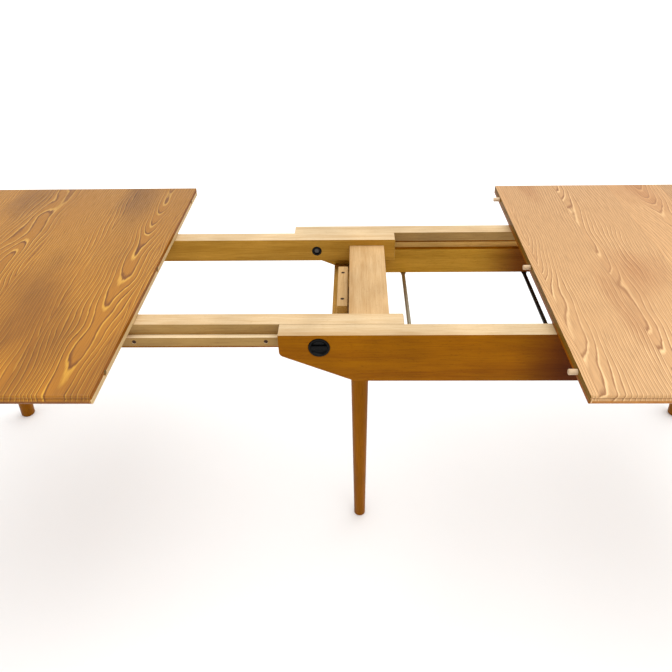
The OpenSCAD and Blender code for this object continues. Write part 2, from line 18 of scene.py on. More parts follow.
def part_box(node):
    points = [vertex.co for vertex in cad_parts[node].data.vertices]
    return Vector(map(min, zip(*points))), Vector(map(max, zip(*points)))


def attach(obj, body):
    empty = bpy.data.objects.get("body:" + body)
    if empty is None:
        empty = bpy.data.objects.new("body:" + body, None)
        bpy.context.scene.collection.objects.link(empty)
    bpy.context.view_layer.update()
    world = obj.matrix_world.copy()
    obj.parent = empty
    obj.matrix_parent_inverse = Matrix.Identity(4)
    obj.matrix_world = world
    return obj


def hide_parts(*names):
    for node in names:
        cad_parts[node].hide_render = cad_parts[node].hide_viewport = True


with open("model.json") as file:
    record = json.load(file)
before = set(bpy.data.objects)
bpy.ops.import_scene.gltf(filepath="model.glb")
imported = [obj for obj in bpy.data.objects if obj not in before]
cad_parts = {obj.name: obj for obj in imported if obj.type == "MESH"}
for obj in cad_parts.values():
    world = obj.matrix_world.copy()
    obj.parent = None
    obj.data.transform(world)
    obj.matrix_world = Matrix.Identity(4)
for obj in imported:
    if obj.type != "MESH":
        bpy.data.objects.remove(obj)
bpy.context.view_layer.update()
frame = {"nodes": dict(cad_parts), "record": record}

MM = 0.001
print("nodes:", len(frame["nodes"]))

# %% [markdown]
# ## The view
#
# The camera stands in front of the table, a little over head height when seated, and looks down at the
# open middle. Its axes are worked out from three angles, which is easier to read than a quaternion: it is
# turned a little from +Y, tipped down, and leaned a little, as a camera held in the hand is.

# %% The camera
def camera_axes(turned, tipped, leaned):
    """The camera's right, up and back axes as a matrix, from three angles in degrees."""
    turned, tipped, leaned = (math.radians(angle) for angle in (turned, tipped, leaned))
    level = Vector((math.sin(turned), math.cos(turned), 0))
    ahead = level * math.cos(tipped) - Vector((0, 0, math.sin(tipped)))
    right = Vector((math.cos(turned), -math.sin(turned), 0))
    up = right.cross(ahead)
    leaned_right = right * math.cos(leaned) + up * math.sin(leaned)
    leaned_up = up * math.cos(leaned) - right * math.sin(leaned)
    return Matrix((leaned_right, leaned_up, -ahead)).transposed()


bpy.ops.object.camera_add()
camera = bpy.context.object
axes = camera_axes(turned=-1.5668, tipped=34.6925, leaned=-1.0665)
camera.matrix_world = Matrix.Translation((0.0266, -1.1359, 1.3655)) @ axes.to_4x4()
camera.data.lens = 34.91
camera.data.shift_x = -0.0081
camera.data.shift_y = -0.0086
bpy.context.scene.camera = camera
print("camera at", tuple(round(v, 3) for v in camera.location))

# %% [markdown]
# ## The room
#
# The wood should be lit as in a white studio: tops bright, upright faces about half as bright, and the
# light a little from the right, so that edges that face right are paler than edges that face left. One
# very broad distant light does part of this, like a whole ceiling of cloth, and darker finishes on upright
# faces and on edges that face left add the rest as painted shade. Its size keeps the shadows on the
# floor soft, and it lights the floor evenly to the horizon, which a lamp at a few metres cannot. An even
# sky fills in the rest, so that nothing goes black.

# %% The light
def srgb(code):
    """The linear colour of an sRGB hex code."""
    parts = [int(code[i : i + 2], 16) / 255 for i in (1, 3, 5)]
    return [c / 12.92 if c <= 0.04045 else ((c + 0.055) / 1.055) ** 2.4 for c in parts] + [1]


bpy.ops.object.light_add(type="SUN", location=(1.2, -0.2, 4))
ceiling = bpy.context.object
ceiling.name = "cloth_ceiling"
ceiling.rotation_euler = (Vector((0, 0, 0.7)) - ceiling.location).to_track_quat("-Z", "Y").to_euler()
ceiling.data.angle = math.radians(100)
ceiling.data.energy = 3.0
ceiling.data.color = srgb("#fffefc")[:3]

world = bpy.data.worlds.new("even_sky")
world.use_nodes = True
sky = world.node_tree.nodes["Background"].inputs
sky["Color"].default_value = srgb("#fbfcff")
sky["Strength"].default_value = 0.66
bpy.context.scene.world = world
bpy.context.scene.view_settings.view_transform = "Standard"
print("light:", ceiling.data.energy, "sky:", round(sky["Strength"].default_value, 2))

# %% [markdown]
# ## One way to add a shader node
#
# A finish is a small network. One function adds a node of any kind, sets it and links it: an input is
# either a value or the output of a node that came before. The others are short names for the nodes that
# every wood needs, and each gives back an output, so that a finish reads from top to bottom as a recipe.

# %% The node helpers
def add(tree, kind, settings=(), inputs=(), stops=()):
    """Adds a node, sets it, fills or links its inputs and, on a colour ramp, places its stops."""
    made = tree.nodes.new("ShaderNode" + kind)
    for name, value in dict(settings).items():
        setattr(made, name, value)
    for socket, value in dict(inputs).items():
        if isinstance(value, bpy.types.NodeSocket):
            tree.links.new(value, made.inputs[socket])
        else:
            made.inputs[socket].default_value = value
    for i, (place, colour) in enumerate(stops):
        ramp = made.color_ramp.elements
        stop = ramp[i] if i < 2 else ramp.new(place)
        stop.position = place
        stop.color = srgb(colour)
    return made


def maths(tree, operation, *values):
    """The result of an operation on values and outputs."""
    return add(tree, "Math", {"operation": operation}, enumerate(values)).outputs[0]


def laid(tree, place, scale, location=(0, 0, 0)):
    """A place stretched and moved, so that a pattern is drawn out along an axis."""
    return add(tree, "Mapping", (), {0: place, "Scale": scale, "Location": location}).outputs[0]


def noise(tree, place, scale, detail):
    """A soft noise, with its scale in waves per metre."""
    return add(tree, "TexNoise", (), {"Vector": place, "Scale": scale, "Detail": detail}).outputs[0]


def spread(tree, value, low, high, to_low, to_high, kind="LINEAR"):
    """A value brought from one range to another, and held inside it."""
    ends = {0: value, 1: low, 2: high, 3: to_low, 4: to_high}
    return add(tree, "MapRange", {"interpolation_type": kind}, ends).outputs[0]


def blend(tree, share, first, second, kind="MIX"):
    """Two colours mixed or multiplied by a share."""
    colours = {0: share, 6: first, 7: second}
    return add(tree, "Mix", {"data_type": "RGBA", "blend_type": kind}, colours).outputs[2]


def scaled(tree, colour, by):
    """A colour made lighter or darker."""
    return add(tree, "VectorMath", {"operation": "SCALE"}, {0: colour, "Scale": by}).outputs[0]


def relieve(tree, shader, height, strength, depth):
    """Gives a surface a fine relief."""
    bump = add(tree, "Bump", (), {"Height": height, "Strength": strength, "Distance": depth})
    tree.links.new(bump.outputs[0], shader.inputs["Normal"])


def new_material(name):
    """An empty material with a Principled shader: (material, its tree, the shader)."""
    material = bpy.data.materials.new(name)
    material.use_nodes = True
    return material, material.node_tree, material.node_tree.nodes["Principled BSDF"]


# %% The floor
bpy.ops.mesh.primitive_plane_add(size=30)
floor = bpy.context.object
floor.name = "floor"
# smooth plaster, rolled with pale matt paint
floor_paint, _, floor_shader = new_material("pale_matt_paint")
floor_shader.inputs["Base Color"].default_value = srgb("#f4f4f3")
floor_shader.inputs["Roughness"].default_value = 0.9
floor_shader.inputs["Specular IOR Level"].default_value = 0.2
floor.data.materials.append(floor_paint)
print("floor:", floor.dimensions[0], "m square")

# %% [markdown]
# ## Elm for the tops
#
# The tops are elm boards, glued side by side and running from front to back, then oiled and waxed. Elm
# shows bold arched figure: each board is a flat cut through the cone-shaped growth rings of a trunk. So
# the rings are worked out as in the tree. The distance from the heart is taken across and down, the heart
# leans a little along the board, and the distance is cut into rings about 5 mm apart. Each board gets its
# own heart from its number. A slow noise bends the rings, a quick one gives them elm's ragged edge, and a
# mask lets the figure fade in places. Large soft clouds and fine pores come last.

# %% The elm finish
BOARD_W = 128 * MM
RING_W = 5.4 * MM
# slow bends half a metre long, waves a hand long, and elm's ragged edge: for each, how much it is drawn out
# along the board, its waves per metre, its detail, and how far it moves a ring in metres
WAVES = ((0.16, 9.0, 1.0, 0.036), (0.35, 15.0, 1.0, 0.021), (0.15, 150.0, 2.0, 0.0018))


def elm(name, seed, plain, line, gleam, cloud, cloud_share, lean, joint_share, near_light_tint, far_light_tint):
    """Oiled elm boards along Y, from the wood's, ring lines', pale lines' and clouds' colours."""
    material, tree, shader = new_material(name)
    place = add(tree, "TexCoord").outputs["Object"]
    split = add(tree, "SeparateXYZ", (), {0: place})
    x, y = split.outputs[0], split.outputs[1]
    lane = maths(tree, "DIVIDE", x, BOARD_W)
    own = maths(tree, "ADD", maths(tree, "FLOOR", lane), seed)
    chance = add(tree, "TexWhiteNoise", {"noise_dimensions": "1D"}, {"W": own})
    luck = add(tree, "SeparateColor", (), {0: chance.outputs["Color"]}).outputs

    # the heart of this board's tree: how far across, how deep, and how it leans along the board
    heart = maths(tree, "MULTIPLY_ADD", luck[0], -1.7, 0.35)
    across = maths(tree, "ADD", maths(tree, "FRACT", lane), heart)
    across = maths(tree, "MULTIPLY", across, BOARD_W)
    drift = maths(tree, "MULTIPLY", y, maths(tree, "MULTIPLY_ADD", luck[2], 2 * lean, -lean))
    depth = maths(tree, "ADD", maths(tree, "MULTIPLY_ADD", luck[1], 0.05, 0.018), drift)
    corner = add(tree, "CombineXYZ", (), {0: across, 1: depth}).outputs[0]
    bent = add(tree, "VectorMath", {"operation": "LENGTH"}, {0: corner}).outputs["Value"]

    # every board is cut from another part of the noise, so that no two bend alike
    offset = maths(tree, "MULTIPLY", own, 3.7)
    moved = add(tree, "CombineXYZ", (), {0: offset, 1: 0.0, 2: offset}).outputs[0]
    apart = add(tree, "VectorMath", {"operation": "ADD"}, {0: place, 1: moved}).outputs[0]
    for drawn_out, scale, detail, reach in WAVES:
        wave = noise(tree, laid(tree, apart, (1.0, drawn_out, 1.0)), scale, detail)
        bent = maths(tree, "MULTIPLY_ADD", wave, reach, bent)
    phase = maths(tree, "FRACT", maths(tree, "DIVIDE", bent, RING_W))
    figure = add(
        tree, "ValToRGB", (), {0: phase},
        [(0.0, gleam), (0.14, plain), (0.64, plain), (0.79, line), (0.85, line), (0.94, gleam)],
    ).outputs[0]

    # the figure fades in and out along the boards
    fade = noise(tree, laid(tree, place, (1.0, 0.5, 1.0), (seed, seed, 0.0)), 7.0, 2.0)
    wood = blend(tree, spread(tree, fade, 0.38, 0.62, 0.5, 1.0), srgb(plain), figure)

    # painted reflection: soft dark clouds, a hand wide, stretched along the boards, stand for the room
    # reflected in the satin finish
    reflection_clouds = noise(tree, laid(tree, place, (1.0, 0.3, 1.0), (seed + 4.0, 0.0, 0.0)), 8.5, 1.5)
    reflection_clouds = spread(tree, reflection_clouds, 0.5, 0.68, 0.0, cloud_share)
    wood = blend(tree, reflection_clouds, wood, srgb(cloud), "MULTIPLY")

    # each board a little lighter or darker
    wood = scaled(tree, wood, spread(tree, luck[1], 0.0, 1.0, 0.88, 1.1))

    # painted light: the tone shifts along each top from the near end to the far end, as the light over the
    # top changes; the even light here does not give that
    tint = blend(tree, spread(tree, y, -0.38, 0.38, 0.0, 1.0), (*near_light_tint, 1), (*far_light_tint, 1))
    wood = add(tree, "VectorMath", {"operation": "MULTIPLY"}, {0: wood, 1: tint}).outputs[0]

    # pores are hair-fine, and drawn 1 mm wide so that they show
    pores = noise(tree, laid(tree, place, (1.0, 0.035, 1.0)), 620.0, 2.0)
    wood = scaled(tree, wood, spread(tree, pores, 0.42, 0.66, 1.04, 0.86))

    # the glue line between two boards, drawn 1 mm wide
    joint = spread(tree, maths(tree, "PINGPONG", lane, 0.5), 0.003, 0.008, joint_share, 0.0)
    wood = blend(tree, joint, wood, srgb(line))
    tree.links.new(wood, shader.inputs["Base Color"])

    # waxed, so a satin that is a little rougher in the pores
    tree.links.new(spread(tree, pores, 0.35, 0.7, 0.34, 0.5), shader.inputs["Roughness"])
    shader.inputs["Specular IOR Level"].default_value = 0.4
    relieve(tree, shader, maths(tree, "MULTIPLY_ADD", phase, 0.4, pores), 0.25, 0.12 * MM)
    return material


# elm boards, planed, sanded and oiled a deep gold, and darker than the right half in part as painted shade:
# the left half
golden_elm = elm(
    "oiled_golden_elm", seed=11.0, plain="#a66b18", line="#6c3a05", gleam="#cf993f", cloud="#8f7a5c",
    cloud_share=0.5, lean=0.11, joint_share=0.2, near_light_tint=(1.1, 1.08, 0.62), far_light_tint=(0.9, 0.96, 1.3),
)
# elm boards, planed, sanded and oiled with a clear oil that leaves them pale, and paler in part as painted
# light from the right: the right half
pale_elm = elm(
    "oiled_pale_elm", seed=37.0, plain="#bd8d59", line="#8c5a2b", gleam="#dfb37b", cloud="#dcc3aa",
    cloud_share=0.75, lean=0.12, joint_share=0.25, near_light_tint=(1.1, 1.16, 1.22), far_light_tint=(1.0, 1.02, 1.05),
)
print("elm:", golden_elm.name, pale_elm.name)

# %% [markdown]
# ## Beech for everything underneath
#
# The rails, bearers, runners, plank and legs are beech. Its grain is straight and quiet: broad pale and
# tan streaks, fine lines, and thousands of short flecks, all along the bar. Planed and left bare it is
# cream, and oiled it goes a deep gold. One recipe serves every bar, with the grain turned along X, Y or Z
# by stretching the pattern on that axis. Oil or wax that was wiped off hardly shines, so those are matt.

# %% The beech recipe
STRETCH = {"X": (0.05, 1, 1), "Y": (1, 0.05, 1), "Z": (1, 1, 0.05)}
MATT = 0.04


def beech(name, along, pale, dark, fleck, rough, seed=0.0, gloss=0.25, darker_from=None):
    """Beech with its grain along an axis, from its pale, streak and fleck colours."""
    material, tree, shader = new_material(name)
    place = add(tree, "TexCoord").outputs["Object"]
    grain = laid(tree, place, STRETCH[along], (seed, seed, seed))
    fine = noise(tree, grain, 420.0, 2.0)
    streaks = maths(tree, "MULTIPLY_ADD", fine, 0.8, noise(tree, grain, 45.0, 3.0))
    wood = blend(tree, spread(tree, streaks, 0.62, 1.2, 0.0, 1.0), srgb(pale), srgb(dark))

    # slow patches, a few fingers wide, a little lighter or darker
    patches = noise(tree, place, 11.0, 1.0)
    wood = scaled(tree, wood, spread(tree, patches, 0.3, 0.7, 0.9, 1.1))

    # flecks are 2 mm long and hair-thin, and drawn about 1 mm wide so that they show
    dots = noise(tree, laid(tree, place, [min(1.0, 4 * s) for s in STRETCH[along]]), 700.0, 1.0)
    wood = blend(tree, spread(tree, dots, 0.62, 0.7, 0.0, 0.3), wood, srgb(fleck))
    if darker_from is not None:
        # under the top the rail is in deep shade, more than this even light gives, so the finish adds some
        x = add(tree, "SeparateXYZ", (), {0: place}).outputs[0]
        shade = spread(tree, x, darker_from, darker_from + 0.12, 0.0, 0.85, "SMOOTHSTEP")
        wood = blend(tree, shade, wood, srgb("#8a4a32"), "MULTIPLY")
    tree.links.new(wood, shader.inputs["Base Color"])
    uneven = spread(tree, fine, 0.3, 0.7, rough - 0.05, rough + 0.08)
    tree.links.new(uneven, shader.inputs["Roughness"])
    shader.inputs["Specular IOR Level"].default_value = gloss
    relieve(tree, shader, fine, 0.3, 0.1 * MM)
    return material


# %% The beech finishes
# painted shade, in part: the finishes for upright faces are darker than the bare upper faces, for shade
# that the even light here does not give them
# planed along the grain and left bare: the upper faces of the rails
planed_x = beech("planed_beech_lengthways", "X", "#d4bb93", "#ba986a", "#9e7c53", 0.55)
# planed and left bare, its grain across the table: the plank
planed_y = beech("planed_beech_crossways", "Y", "#c9a778", "#b18a58", "#95714b", 0.5, seed=3.0)
# planed, then rubbed with wax: the inner faces of the slide rails
waxed_x = beech(
    "waxed_beech_lengthways", "X", "#b58736", "#93671d", "#734f14", 0.45, seed=5.0, gloss=MATT,
)
# cut with a grooving plane, then rubbed with wax: the walls of the grooves
groove_x = beech("waxed_beech_groove", "X", "#e2ba70", "#c89a50", "#9e7338", 0.5, seed=22.0, gloss=MATT)
# planed, then rubbed dull by sliding: the runners and what they pass
runner_x = beech("rubbed_beech_lengthways", "X", "#a17f45", "#85622e", "#694c24", 0.42, seed=7.0)
# planed, sanded and oiled deep gold, with painted shade towards the end under the top: the outer faces of
# the outer rails
oiled_x = beech(
    "oiled_beech_lengthways", "X", "#935a00", "#7a4300", "#5b2f00", 0.38, seed=9.0, gloss=MATT,
    darker_from=0.29,
)
# planed, sanded and oiled as well, but paler, with the same painted shade: their inner faces
oiled_inner_x = beech(
    "oiled_beech_pale_side", "X", "#b88830", "#986c1b", "#755211", 0.42, seed=2.0, gloss=MATT,
    darker_from=0.29,
)
# planed and oiled, its grain across the table: the centre bearer
oiled_y = beech(
    "oiled_beech_crossways", "Y", "#c1944c", "#9e7534", "#7c5823", 0.42, seed=4.0, gloss=MATT,
)
# turned on a lathe, sanded and oiled: the legs; on the strips of the rails that lie in shade its dark tone
# is painted shade
oiled_z = beech("oiled_beech_upright", "Z", "#905700", "#784400", "#5c3300", 0.36, seed=6.0, gloss=MATT)
# planed and oiled a shade redder: the end bearers
end_bearer_y = beech(
    "oiled_beech_end_bearer", "Y", "#96550c", "#7c4305", "#5d3003", 0.36, seed=19.0, gloss=MATT,
)
# sawn across the grain and left rough: the ends of bars
end_grain = beech("sawn_beech_end", "Z", "#a98a5c", "#86683c", "#6b4f2e", 0.65, seed=8.0)
print("beech finishes:", len([m for m in bpy.data.materials if "beech" in m.name]))

# %% [markdown]
# ## The edges of the elm
#
# The straight edges of the tops are sawn along the boards, and show straight lines like a beech bar, so
# the same recipe serves. The rims are moulded, and the faces of the moulding that look outwards or down are
# darker as painted shade.

# %% The elm edge finishes
# sawn straight and left bare: the lower part of the left half's straight edge
elm_edge = beech("sawn_elm_edge", "Y", "#c9ac7c", "#ab8a58", "#8a6c44", 0.6, seed=1.0)
# sawn and oiled, the upper part of both; its dark tone also stands for the shade below the face
golden_edge = beech(
    "oiled_golden_elm_edge", "Y", "#8d5410", "#6f3d06", "#552d03", 0.5, seed=21.0, gloss=MATT,
)
elm_edge_oiled = beech("oiled_elm_edge", "Y", "#8c6626", "#6b4a14", "#4a3208", 0.5, seed=12.0, gloss=MATT)
# moulded with a router, sanded and oiled, and darker as painted shade: the outer rims
golden_rim = beech("oiled_golden_elm_rim", "Y", "#8d5410", "#6f3d06", "#552d03", 0.35, seed=17.0)
pale_rim = beech("oiled_pale_elm_rim", "Y", "#bb7c36", "#9b6020", "#7d4a12", 0.38, seed=18.0)
print("elm edges:", len([m for m in bpy.data.materials if "edge" in m.name or "rim" in m.name]))

# %% [markdown]
# ## Metal and nylon
#
# The rods are drawn steel, one with a zinc coat gone dull and the others black. The bolts are
# cleaner, the old wood screws have browned, and the lock knobs and collars are moulded nylon. Each is one
# shader with a fine noise in its roughness, because at this size a metal is known by how evenly it shines.

# %% The metal and nylon finishes
def hard_finish(name, colour, metal, rough, uneven, grain_mm, bump_mm, gloss=0.5):
    """A metal or moulded finish, with a roughness that varies and a fine grain of a given size."""
    material, tree, shader = new_material(name)
    shader.inputs["Base Color"].default_value = srgb(colour)
    shader.inputs["Metallic"].default_value = metal
    shader.inputs["Specular IOR Level"].default_value = gloss
    grain = noise(tree, add(tree, "TexCoord").outputs["Object"], 1 / (grain_mm * MM), 3.0)
    dulled = spread(tree, grain, 0.3, 0.7, rough - uneven, rough + uneven)
    tree.links.new(dulled, shader.inputs["Roughness"])
    relieve(tree, shader, grain, 0.4, bump_mm * MM)
    return material


# steel rod, coloured black: the middle and outer rods
black_steel = hard_finish("black_steel_rod", "#0b0b0b", 0.0, 0.35, 0.08, 2.0, 0.02, gloss=0.3)
# cold-drawn steel rod with a thin zinc coat, gone dull: the inner rod
drawn_steel = hard_finish("drawn_zinc_steel", "#a8a08a", 1.0, 0.38, 0.08, 3.0, 0.02)
# rolled and zinc-plated steel, still bright: bolts, nuts, studs and the top's screws
bright_steel = hard_finish("bright_zinc_steel", "#b9b6ae", 1.0, 0.28, 0.06, 2.0, 0.01)
# plain steel screws, browned with age
browned_steel = hard_finish("browned_screw_steel", "#4a3526", 0.8, 0.45, 0.1, 1.5, 0.03)
# turned steel, blackened in hot oil: the bushes
bush_steel = hard_finish("blackened_bush_steel", "#4d4a48", 1.0, 0.4, 0.08, 1.5, 0.02)
# nylon, moulded in a lightly sparked steel mould: the knobs and collars
black_nylon = hard_finish("moulded_black_nylon", "#050505", 0.0, 0.25, 0.06, 0.8, 0.02, gloss=0.1)
print("hard finishes:", drawn_steel.name, bright_steel.name, browned_steel.name, black_nylon.name)

# %% [markdown]
# ## A joiner's few moves
#
# Every piece starts as a cube or a cone at its real size and place, and is shaped as at a bench: sawn,
# bored, grooved, its arrises eased. These helpers are those moves. Each selects what it works on by place
# or direction, because a number that counts faces breaks as soon as the shape changes.

# %% Start a piece
TURN = {"X": (0, math.pi / 2, 0), "Y": (-math.pi / 2, 0, 0), "Z": (0, 0, 0)}


def settle(name):
    """Names the primitive just added, and moves its place and size into its mesh."""
    piece = bpy.context.object
    piece.name = piece.data.name = name
    bpy.ops.object.transform_apply(location=True, rotation=True, scale=True)
    return piece


def block(name, low, high):
    """A block of wood from its lowest to its highest corner."""
    low, high = Vector(low), Vector(high)
    bpy.ops.object.select_all(action="DESELECT")
    bpy.ops.mesh.primitive_cube_add(size=1, location=(low + high) / 2, scale=high - low)
    return settle(name)


def turned(name, start, axis, length, radius, end_radius=None, around=48):
    """A turned bar or cone that starts at a point and runs along +axis."""
    bpy.ops.object.select_all(action="DESELECT")
    turn = Euler(TURN[axis])
    middle = Vector(start) + turn.to_matrix() @ Vector((0, 0, length / 2))
    bpy.ops.mesh.primitive_cone_add(
        vertices=around, radius1=radius, radius2=radius if end_radius is None else end_radius,
        depth=length, location=middle, rotation=turn,
    )
    return settle(name)


# %% Select and shape
def pick(piece, kind, test):
    """Selects, in edit mode, the faces or edges of a piece that pass a test."""
    if bpy.context.mode == "OBJECT":
        bpy.ops.object.select_all(action="DESELECT")
    bpy.context.view_layer.objects.active = piece
    piece.select_set(True)
    bpy.ops.object.mode_set(mode="EDIT")
    bpy.ops.mesh.select_mode(type=kind)
    bpy.ops.mesh.select_all(action="DESELECT")
    mesh = bmesh.from_edit_mesh(piece.data)
    for part in mesh.faces if kind == "FACE" else mesh.edges:
        if test(part):
            part.select_set(True)
    bmesh.update_edit_mesh(piece.data)


def done_editing():
    """Back to object mode."""
    bpy.ops.object.mode_set(mode="OBJECT")


def middle_of(edge):
    """The middle of an edge."""
    return (edge.verts[0].co + edge.verts[1].co) / 2


def sharp_out(edge, degrees=35):
    """Is this an outward corner of more than some degrees?"""
    return len(edge.link_faces) == 2 and edge.calc_face_angle_signed(0) > math.radians(degrees)


def round_off(piece, width, segments, test):
    """Rounds the edges of a piece that pass a test."""
    pick(piece, "EDGE", test)
    bpy.ops.mesh.bevel(offset=width, segments=segments, affect="EDGES", clamp_overlap=False)
    done_editing()


def ease(piece, width, shortest=12 * MM, also=None):
    """Rounds the long outward arrises of a piece, and any other that also() names."""
    round_off(
        piece, width, 3,
        lambda e: sharp_out(e) and (e.calc_length() > shortest or bool(also and also(e))),
    )


def score(piece, place, normal):
    """Scores a line round a piece, along which two finishes can meet."""
    pick(piece, "FACE", lambda f: True)
    bpy.ops.mesh.bisect(plane_co=place, plane_no=normal)
    done_editing()


def cut(piece, cutters, operation="DIFFERENCE"):
    """Takes the cutters away from a piece, or keeps only what lies in them."""
    bpy.ops.object.select_all(action="DESELECT")
    for cutter in cutters:
        cutter.select_set(True)
    bpy.context.view_layer.objects.active = cutters[0]
    if len(cutters) > 1:
        bpy.ops.object.join()
    change = piece.modifiers.new("cut", "BOOLEAN")
    change.operation = operation
    change.object = cutters[0]
    change.solver = "EXACT"
    bpy.context.view_layer.objects.active = piece
    bpy.ops.object.modifier_apply(modifier="cut")
    bpy.data.objects.remove(cutters[0])


# %% Copy, join and finish
MIRROR = {"X": Vector((1, 0, 0)), "Y": Vector((0, 1, 0))}


def twin(piece, name, *axes):
    """A copy with its own mesh, mirrored over the table's middle on each axis named."""
    copy = piece.copy()
    copy.data = piece.data.copy()
    copy.name = copy.data.name = name
    bpy.context.collection.objects.link(copy)
    for axis in axes:
        copy.data.transform(Matrix.Scale(-1, 4, MIRROR[axis]))
    if axes:
        # a mirror turns a mesh inside out
        mesh = bmesh.new()
        mesh.from_mesh(copy.data)
        bmesh.ops.recalc_face_normals(mesh, faces=mesh.faces)
        mesh.to_mesh(copy.data)
        mesh.free()
    return copy


def joined(name, pieces):
    """Several separate solids as one piece, as a set of fixings is one part."""
    bpy.ops.object.select_all(action="DESELECT")
    for piece in pieces:
        piece.select_set(True)
    bpy.context.view_layer.objects.active = pieces[0]
    if len(pieces) > 1:
        bpy.ops.object.join()
    pieces[0].name = pieces[0].data.name = name
    return pieces[0]


def finish(piece, material, angle=30):
    """Gives a piece its material and smooth shading that stays crisp at corners."""
    piece.data.materials.clear()
    piece.data.materials.append(material)
    bpy.ops.object.select_all(action="DESELECT")
    piece.select_set(True)
    bpy.context.view_layer.objects.active = piece
    bpy.ops.object.shade_smooth_by_angle(angle=math.radians(angle))
    return piece


def repaint(piece, material, test):
    """Gives the faces that pass a test another material."""
    piece.data.materials.append(material)
    index = len(piece.data.materials) - 1
    for face in piece.data.polygons:
        if test(face.center, face.normal):
            face.material_index = index


def stand_for(piece, body, slot, *nodes):
    """Fixes a piece to its body and hides the CAD nodes it stands for."""
    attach(piece, body)
    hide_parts(*nodes)


def solids_of(node):
    """The lowest and highest corner of each separate solid in a CAD node."""
    copy = bmesh.new()
    copy.from_mesh(frame["nodes"][node].data)
    bmesh.ops.remove_doubles(copy, verts=copy.verts, dist=0.001 * MM)
    left, boxes = set(copy.verts), []
    while left:
        edge_of = [left.pop()]
        solid = list(edge_of)
        while edge_of:
            corner = edge_of.pop()
            near = {e.other_vert(corner) for e in corner.link_edges} & left
            left -= near
            edge_of += near
            solid += near
        low = Vector([min(v.co[i] for v in solid) for i in range(3)])
        high = Vector([max(v.co[i] for v in solid) for i in range(3)])
        boxes.append((low, high))
    copy.free()
    return sorted(boxes, key=lambda box: tuple(round(v, 4) for v in box[0]))


def corners(node):
    """The lowest and highest corner of a CAD node."""
    low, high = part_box(node)
    return Vector(low), Vector(high)


def centres_of(node):
    """The middle of each separate solid in a CAD node."""
    return [(low + high) / 2 for low, high in solids_of(node)]


print("leaf dowels found:", len(solids_of("leaf_dowels")))

# %% [markdown]
# ## The two halves of the top
#
# Each half is an 18 mm board with a double moulding on three sides: a half-round below, a deep crease,
# and a quarter-round bead on top. The moulding follows the rounded outer corners. On a bench it is run
# with a router. Here it is built by insets: from a thin slice at the widest level, each inset of the top
# face draws the outline in by an exact amount and lifts it, so the profile goes round every corner
# without a seam. Sweeping a profile along a curve would pinch at the corners. The two stacks of insets
# are bridged at the crease, and the straight inner edge is then sawn off.

# %% Values of the top
BEAD_H = 5 * MM
BEAD_IN = 5 * MM
CREASE = 1.2 * MM
CORNER_R = 36 * MM
SLICE = 0.1 * MM
ARC_STEPS = 7
INNER_ROUND = 4.5 * MM
SAWN_EASE = 0.7 * MM

top_low, top_high = corners("right_top")
inner_edge, outer_end = top_low.x, top_high.x
lobe_r = (top_high.z - top_low.z - BEAD_H) / 2
crease_z = top_low.z + 2 * lobe_r
print("half top:", [round(1000 * (b - a), 1) for a, b in zip(top_low, top_high)], "mm")


# %% Build one half
def rounded_slice(name, low, high, radius):
    """A thin slab whose two corners at the outer end are rounded."""
    slab = block(name, low, high)
    round_off(
        slab, radius, 14,
        lambda e: abs(e.verts[0].co.x - high.x) + abs(e.verts[1].co.x - high.x) < MM
        and abs(e.verts[0].co.y - e.verts[1].co.y) < MM,
    )
    return slab


def round_over(slab, upwards, run, rise):
    """Draws the top or bottom face in by run while it moves by rise, along a quarter round."""
    pick(slab, "FACE", lambda f: f.normal.z * upwards > 0.9)
    at, height = 0.0, 0.0
    for step in range(1, ARC_STEPS + 1):
        turn = math.radians(90 * step / ARC_STEPS)
        next_at, next_height = run * (1 - math.cos(turn)), rise * math.sin(turn)
        bpy.ops.mesh.inset(thickness=next_at - at, depth=next_height - height)
        at, height = next_at, next_height
    done_editing()


waste = 4 * lobe_r
lower = rounded_slice(
    "right_top",
    Vector((inner_edge - waste, top_low.y, top_low.z + lobe_r - SLICE)),
    Vector((outer_end, top_high.y, top_low.z + lobe_r + SLICE)), CORNER_R,
)
round_over(lower, 1, lobe_r, lobe_r - SLICE)
round_over(lower, -1, lobe_r, lobe_r - SLICE)
upper = rounded_slice(
    "bead",
    Vector((inner_edge - waste, top_low.y + CREASE, crease_z)),
    Vector((outer_end - CREASE, top_high.y - CREASE, crease_z + SLICE)), CORNER_R - CREASE,
)
round_over(upper, 1, BEAD_IN - CREASE, BEAD_H - SLICE)
right_top = joined("right_top", [lower, upper])
pick(right_top, "FACE", lambda f: abs(f.calc_center_median().z - crease_z) < 0.01 * MM)
bpy.ops.mesh.delete(type="FACE")
pick(right_top, "EDGE", lambda e: len(e.link_faces) == 1)
bpy.ops.mesh.bridge_edge_loops()
bpy.ops.mesh.select_all(action="SELECT")
bpy.ops.mesh.normals_make_consistent(inside=False)
done_editing()
print("moulded slab:", len(right_top.data.polygons), "faces")

# %% Saw the straight edge and bore it
saw = block(
    "saw", Vector((inner_edge, top_low.y - SLICE, top_low.z - MM)),
    Vector((outer_end + MM, top_high.y + SLICE, top_high.z + MM)),
)
round_off(
    saw, INNER_ROUND, 6,
    lambda e: abs(middle_of(e).x - inner_edge) < MM and abs(middle_of(e).y) > 0.9 * top_high.y,
)
cut(right_top, [saw], "INTERSECT")
round_off(
    right_top, SAWN_EASE, 3,
    lambda e: e.calc_length() > 0.5 and abs(middle_of(e).x - inner_edge) < 0.1 * MM,
)
left_top = twin(right_top, "left_top", "X")

DOWEL_HOLE_R = 5.3 * MM
HOLE_DEPTHS = (18 * MM, 17 * MM, 16 * MM)  # front to back
dowel_places = sorted(centres_of("leaf_dowels"), key=lambda p: p.y)
bores = [
    turned("bore", (-inner_edge - depth, p.y, p.z), "X", 2 * depth, DOWEL_HOLE_R)
    for p, depth in zip(dowel_places, HOLE_DEPTHS)
]
cut(left_top, bores)
